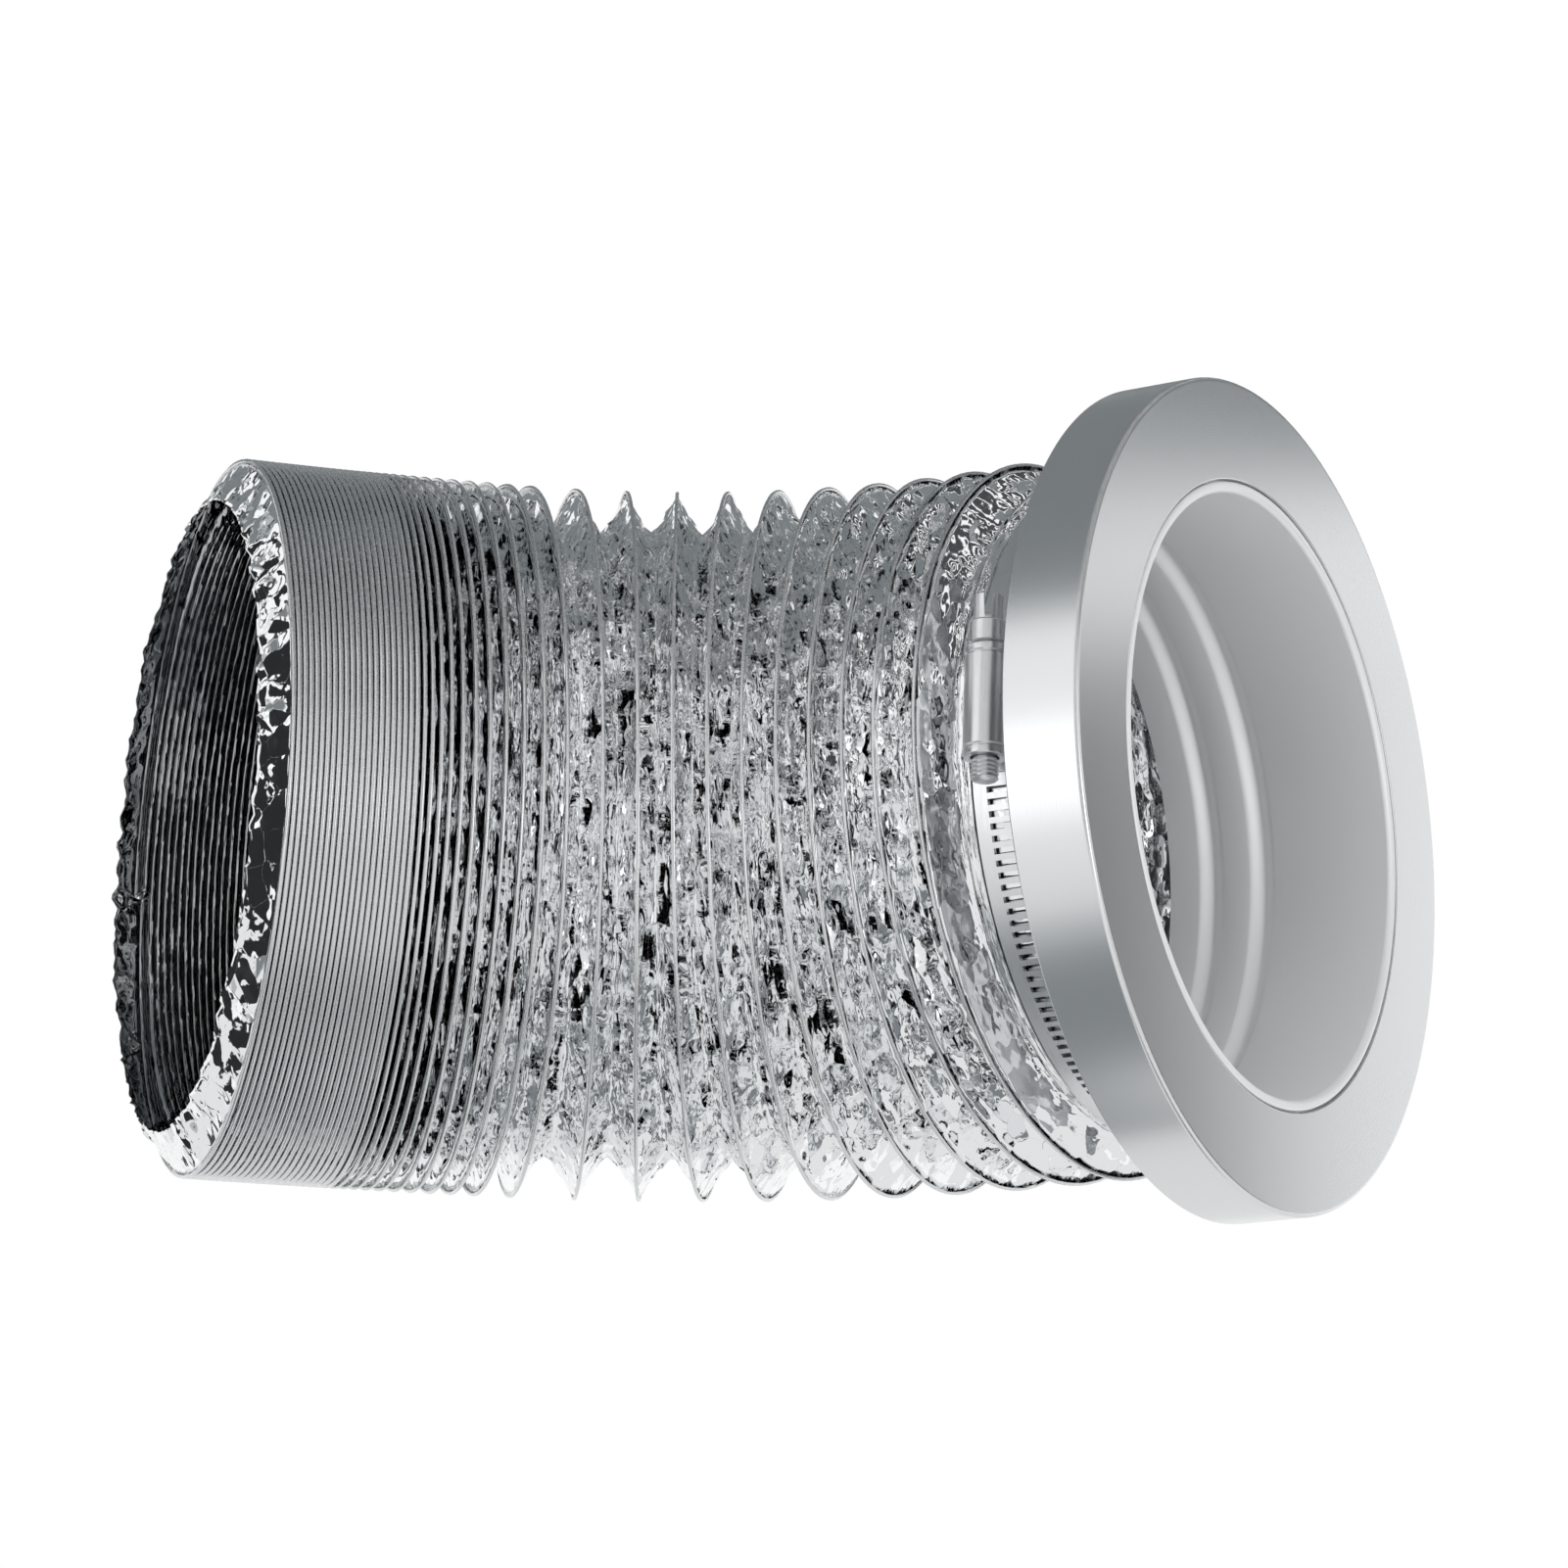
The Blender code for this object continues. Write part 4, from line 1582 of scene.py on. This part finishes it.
    def add_world(self) -> None:
        """Surround the object with white for the camera and the metal, and with a fill elsewhere."""
        world = bpy.data.worlds.new("studio")
        bpy.context.scene.world = world
        world.use_nodes = True
        tree = world.node_tree
        plain = tree.nodes["Background"]
        plain.inputs["Color"].default_value = (*WHITE, 1.0)
        plain.inputs["Strength"].default_value = self.fill
        white = tree.nodes.new("ShaderNodeBackground")
        white.inputs["Color"].default_value = (*WHITE, 1.0)
        white.inputs["Strength"].default_value = 1.0
        rays = tree.nodes.new("ShaderNodeLightPath")
        seen = None
        for kind in Light:
            if seen is None:
                seen = rays.outputs[kind.value]
                continue
            either = tree.nodes.new("ShaderNodeMath")
            either.operation = "MAXIMUM"
            tree.links.new(seen, either.inputs[0])
            tree.links.new(rays.outputs[kind.value], either.inputs[1])
            seen = either.outputs["Value"]
        mix = tree.nodes.new("ShaderNodeMixShader")
        tree.links.new(seen, mix.inputs["Fac"])
        tree.links.new(plain.outputs["Background"], mix.inputs[1])
        tree.links.new(white.outputs["Background"], mix.inputs[2])
        tree.links.new(mix.outputs["Shader"], tree.nodes["World Output"].inputs["Surface"])

    def matt(self, name: str, shade: Colour) -> bpy.types.Material:
        """Make a matt paint for the stage.

        Args:
            name: Name of the material.
            shade: Its colour.

        Returns:
            The material.
        """
        material = bpy.data.materials.new(name)
        material.use_nodes = True
        shader = material.node_tree.nodes["Principled BSDF"]
        shader.inputs["Base Color"].default_value = (*shade, 1.0)
        shader.inputs["Roughness"].default_value = self.matt_roughness
        shader.inputs["Specular IOR Level"].default_value = 0.0
        return material

    def add_floor(self) -> None:
        """Lay the pale floor."""
        bm = bmesh.new()
        bmesh.ops.create_grid(bm, x_segments=1, y_segments=1, size=self.floor_size / 2,
                              matrix=Matrix.Translation((0, 0, self.floor_z)))
        add_piece("floor", bm, self.matt("pale_floor", PALE_FLOOR), ALL_SMOOTH)

    def add_card(self, card: Card) -> None:
        """Hang a wide card round the object that shows only in the metal.

        Args:
            card: The card.
        """
        low, high = (math.radians(angle) for angle in card.elevations)
        first, last = (math.radians(angle) for angle in card.azimuths)
        bm = bmesh.new()
        verts = []
        for i in range(self.card_rows):
            e = low + (high - low) * i / (self.card_rows - 1)
            flat, up = card.away * math.cos(e), card.away * math.sin(e)
            verts.append(bm.verts.new((flat * math.sin(first), -flat * math.cos(first), up)))
        edges = [bm.edges.new(pair) for pair in zip(verts, verts[1:])]
        steps = max(self.card_steps, round((last - first) / math.radians(self.card_step)))
        bmesh.ops.spin(bm, geom=verts + edges, cent=(0, 0, 0), axis=(0, 0, 1), dvec=(0, 0, 0),
                       angle=last - first, steps=steps)
        bmesh.ops.remove_doubles(bm, verts=bm.verts, dist=self.card_weld)
        self.hang(card.name, bm, card.shade)

    def add_row(self, name: str, middles: Iterable[float], width: float, reach: tuple[float, float],
                away: float) -> None:
        """Hang a row of narrow dark cards with white between them.

        Args:
            name: Start of their names.
            middles: Azimuth of each card's middle.
            width: Width of a card in degrees.
            reach: Lowest and highest elevation.
            away: Distance from the flange.
        """
        for middle in middles:
            sides = (middle - width / 2, middle + width / 2)
            self.add_card(Card(f"{name}_{middle}", reach, sides, away, SLAT_CARD))

    def add_flag(self, flag: Flag) -> None:
        """Hang a flat card close to the object that shows only in the metal.

        Args:
            flag: The card.
        """
        turn = Vector(flag.facing).to_track_quat("Z", "Y").to_matrix().to_4x4()
        place = Matrix.Translation(flag.centre) @ turn @ Matrix.Diagonal((*flag.size, 1.0, 1.0))
        bm = bmesh.new()
        bmesh.ops.create_grid(bm, x_segments=1, y_segments=1, size=0.5, matrix=place)
        self.hang(flag.name, bm, flag.shade)

    def hang(self, name: str, bm: bmesh.types.BMesh, shade: Colour) -> None:
        """Put a card on the stage, seen by no ray but those of the metal's gloss.

        Args:
            name: Name of the card.
            bm: Its mesh.
            shade: Its colour.
        """
        piece = add_piece(name, bm, self.matt(f"{name}_matt", shade), ALL_SMOOTH)
        piece.visible_camera = False
        piece.visible_diffuse = False
        piece.visible_shadow = False

    def add_lamp(self, lamp: Lamp) -> None:
        """Add a lamp.

        Args:
            lamp: The lamp.
        """
        data = bpy.data.lights.new(lamp.name, "AREA")
        data.size = lamp.size
        data.energy = lamp.power
        stand = bpy.data.objects.new(lamp.name, data)
        aim = (Vector(self.lamp_aim) - Vector(lamp.place)).to_track_quat("-Z", "Y")
        stand.matrix_world = Matrix.Translation(lamp.place) @ aim.to_matrix().to_4x4()
        bpy.context.scene.collection.objects.link(stand)

    def build(self) -> None:
        """Set up the whole studio."""
        self.add_camera()
        self.add_world()
        self.add_floor()
        for card in self.cards:
            self.add_card(card)
        self.add_row("post", self.posts, self.post_width, self.post_reach, DOME_AWAY)
        self.add_row("roof_slat", self.slats, self.slat_width, self.slat_reach, DOME_AWAY)
        self.add_row("floor_slat", self.floor_slats, self.slat_width, self.floor_slat_reach, LOW_AWAY)
        for flag in self.flags:
            self.add_flag(flag)
        for lamp in self.lamps:
            self.add_lamp(lamp)


SPUN_ALUMINIUM = SpunFinish(
    name="spun_aluminium", colour=(0.80, 0.81, 0.82), roughness=(0.24, 0.27),
    rings=5200.0, ring_depth=0.0000012)
COLLAR_ALUMINIUM = SpunFinish(
    name="collar_aluminium", colour=(0.93, 0.94, 0.95), roughness=(0.42, 0.48),
    rings=4200.0, ring_depth=0.0000012, bareness=0.45)
# The darker inner colour is painted shade for the inside of the duct.
CRUMPLED_FOIL = FoilFinish(
    name="crumpled_foil", colour=(0.91, 0.92, 0.93), inner_shade_colour=(0.46, 0.47, 0.48), roughness=0.05,
    dents=360.0, squeeze=0.6, tilt=0.48, dent_depth=0.00048, wander=0.0016,
    creases=1500.0, crease_depth=0.000015)
DRAWN_WIRE = MetalFinish(
    name="drawn_wire", colour=(0.74, 0.75, 0.76), roughness=(0.22, 0.32),
    grain=(900.0, 900.0, 900.0), grain_depth=0.000004)
BRIGHT_STEEL = MetalFinish(
    name="bright_steel", colour=(0.80, 0.81, 0.82), roughness=(0.27, 0.35),
    grain=(2600.0, 300.0, 300.0), grain_depth=0.000003)
SCREW_STEEL = MetalFinish(
    name="screw_steel", colour=(0.80, 0.81, 0.82), roughness=(0.28, 0.38),
    grain=(700.0, 700.0, 700.0), grain_depth=0.000004)


def main() -> None:
    """Build the pieces in order and set up the studio."""
    logging.basicConfig(level=logging.INFO, format="%(name)s: %(message)s")
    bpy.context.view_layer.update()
    bpy.context.scene.view_settings.view_transform = "Standard"
    pieces = []
    pieces += WallFlange().build(SPUN_ALUMINIUM, COLLAR_ALUMINIUM)
    pieces += WormClamp().build(BRIGHT_STEEL, SCREW_STEEL)
    pieces += FoilDuct().build(CRUMPLED_FOIL, DRAWN_WIRE)
    for piece in pieces:
        LOG.info("%s: %d faces", piece.name, len(piece.data.polygons))
    Studio().build()


if __name__ == "__main__":
    main()
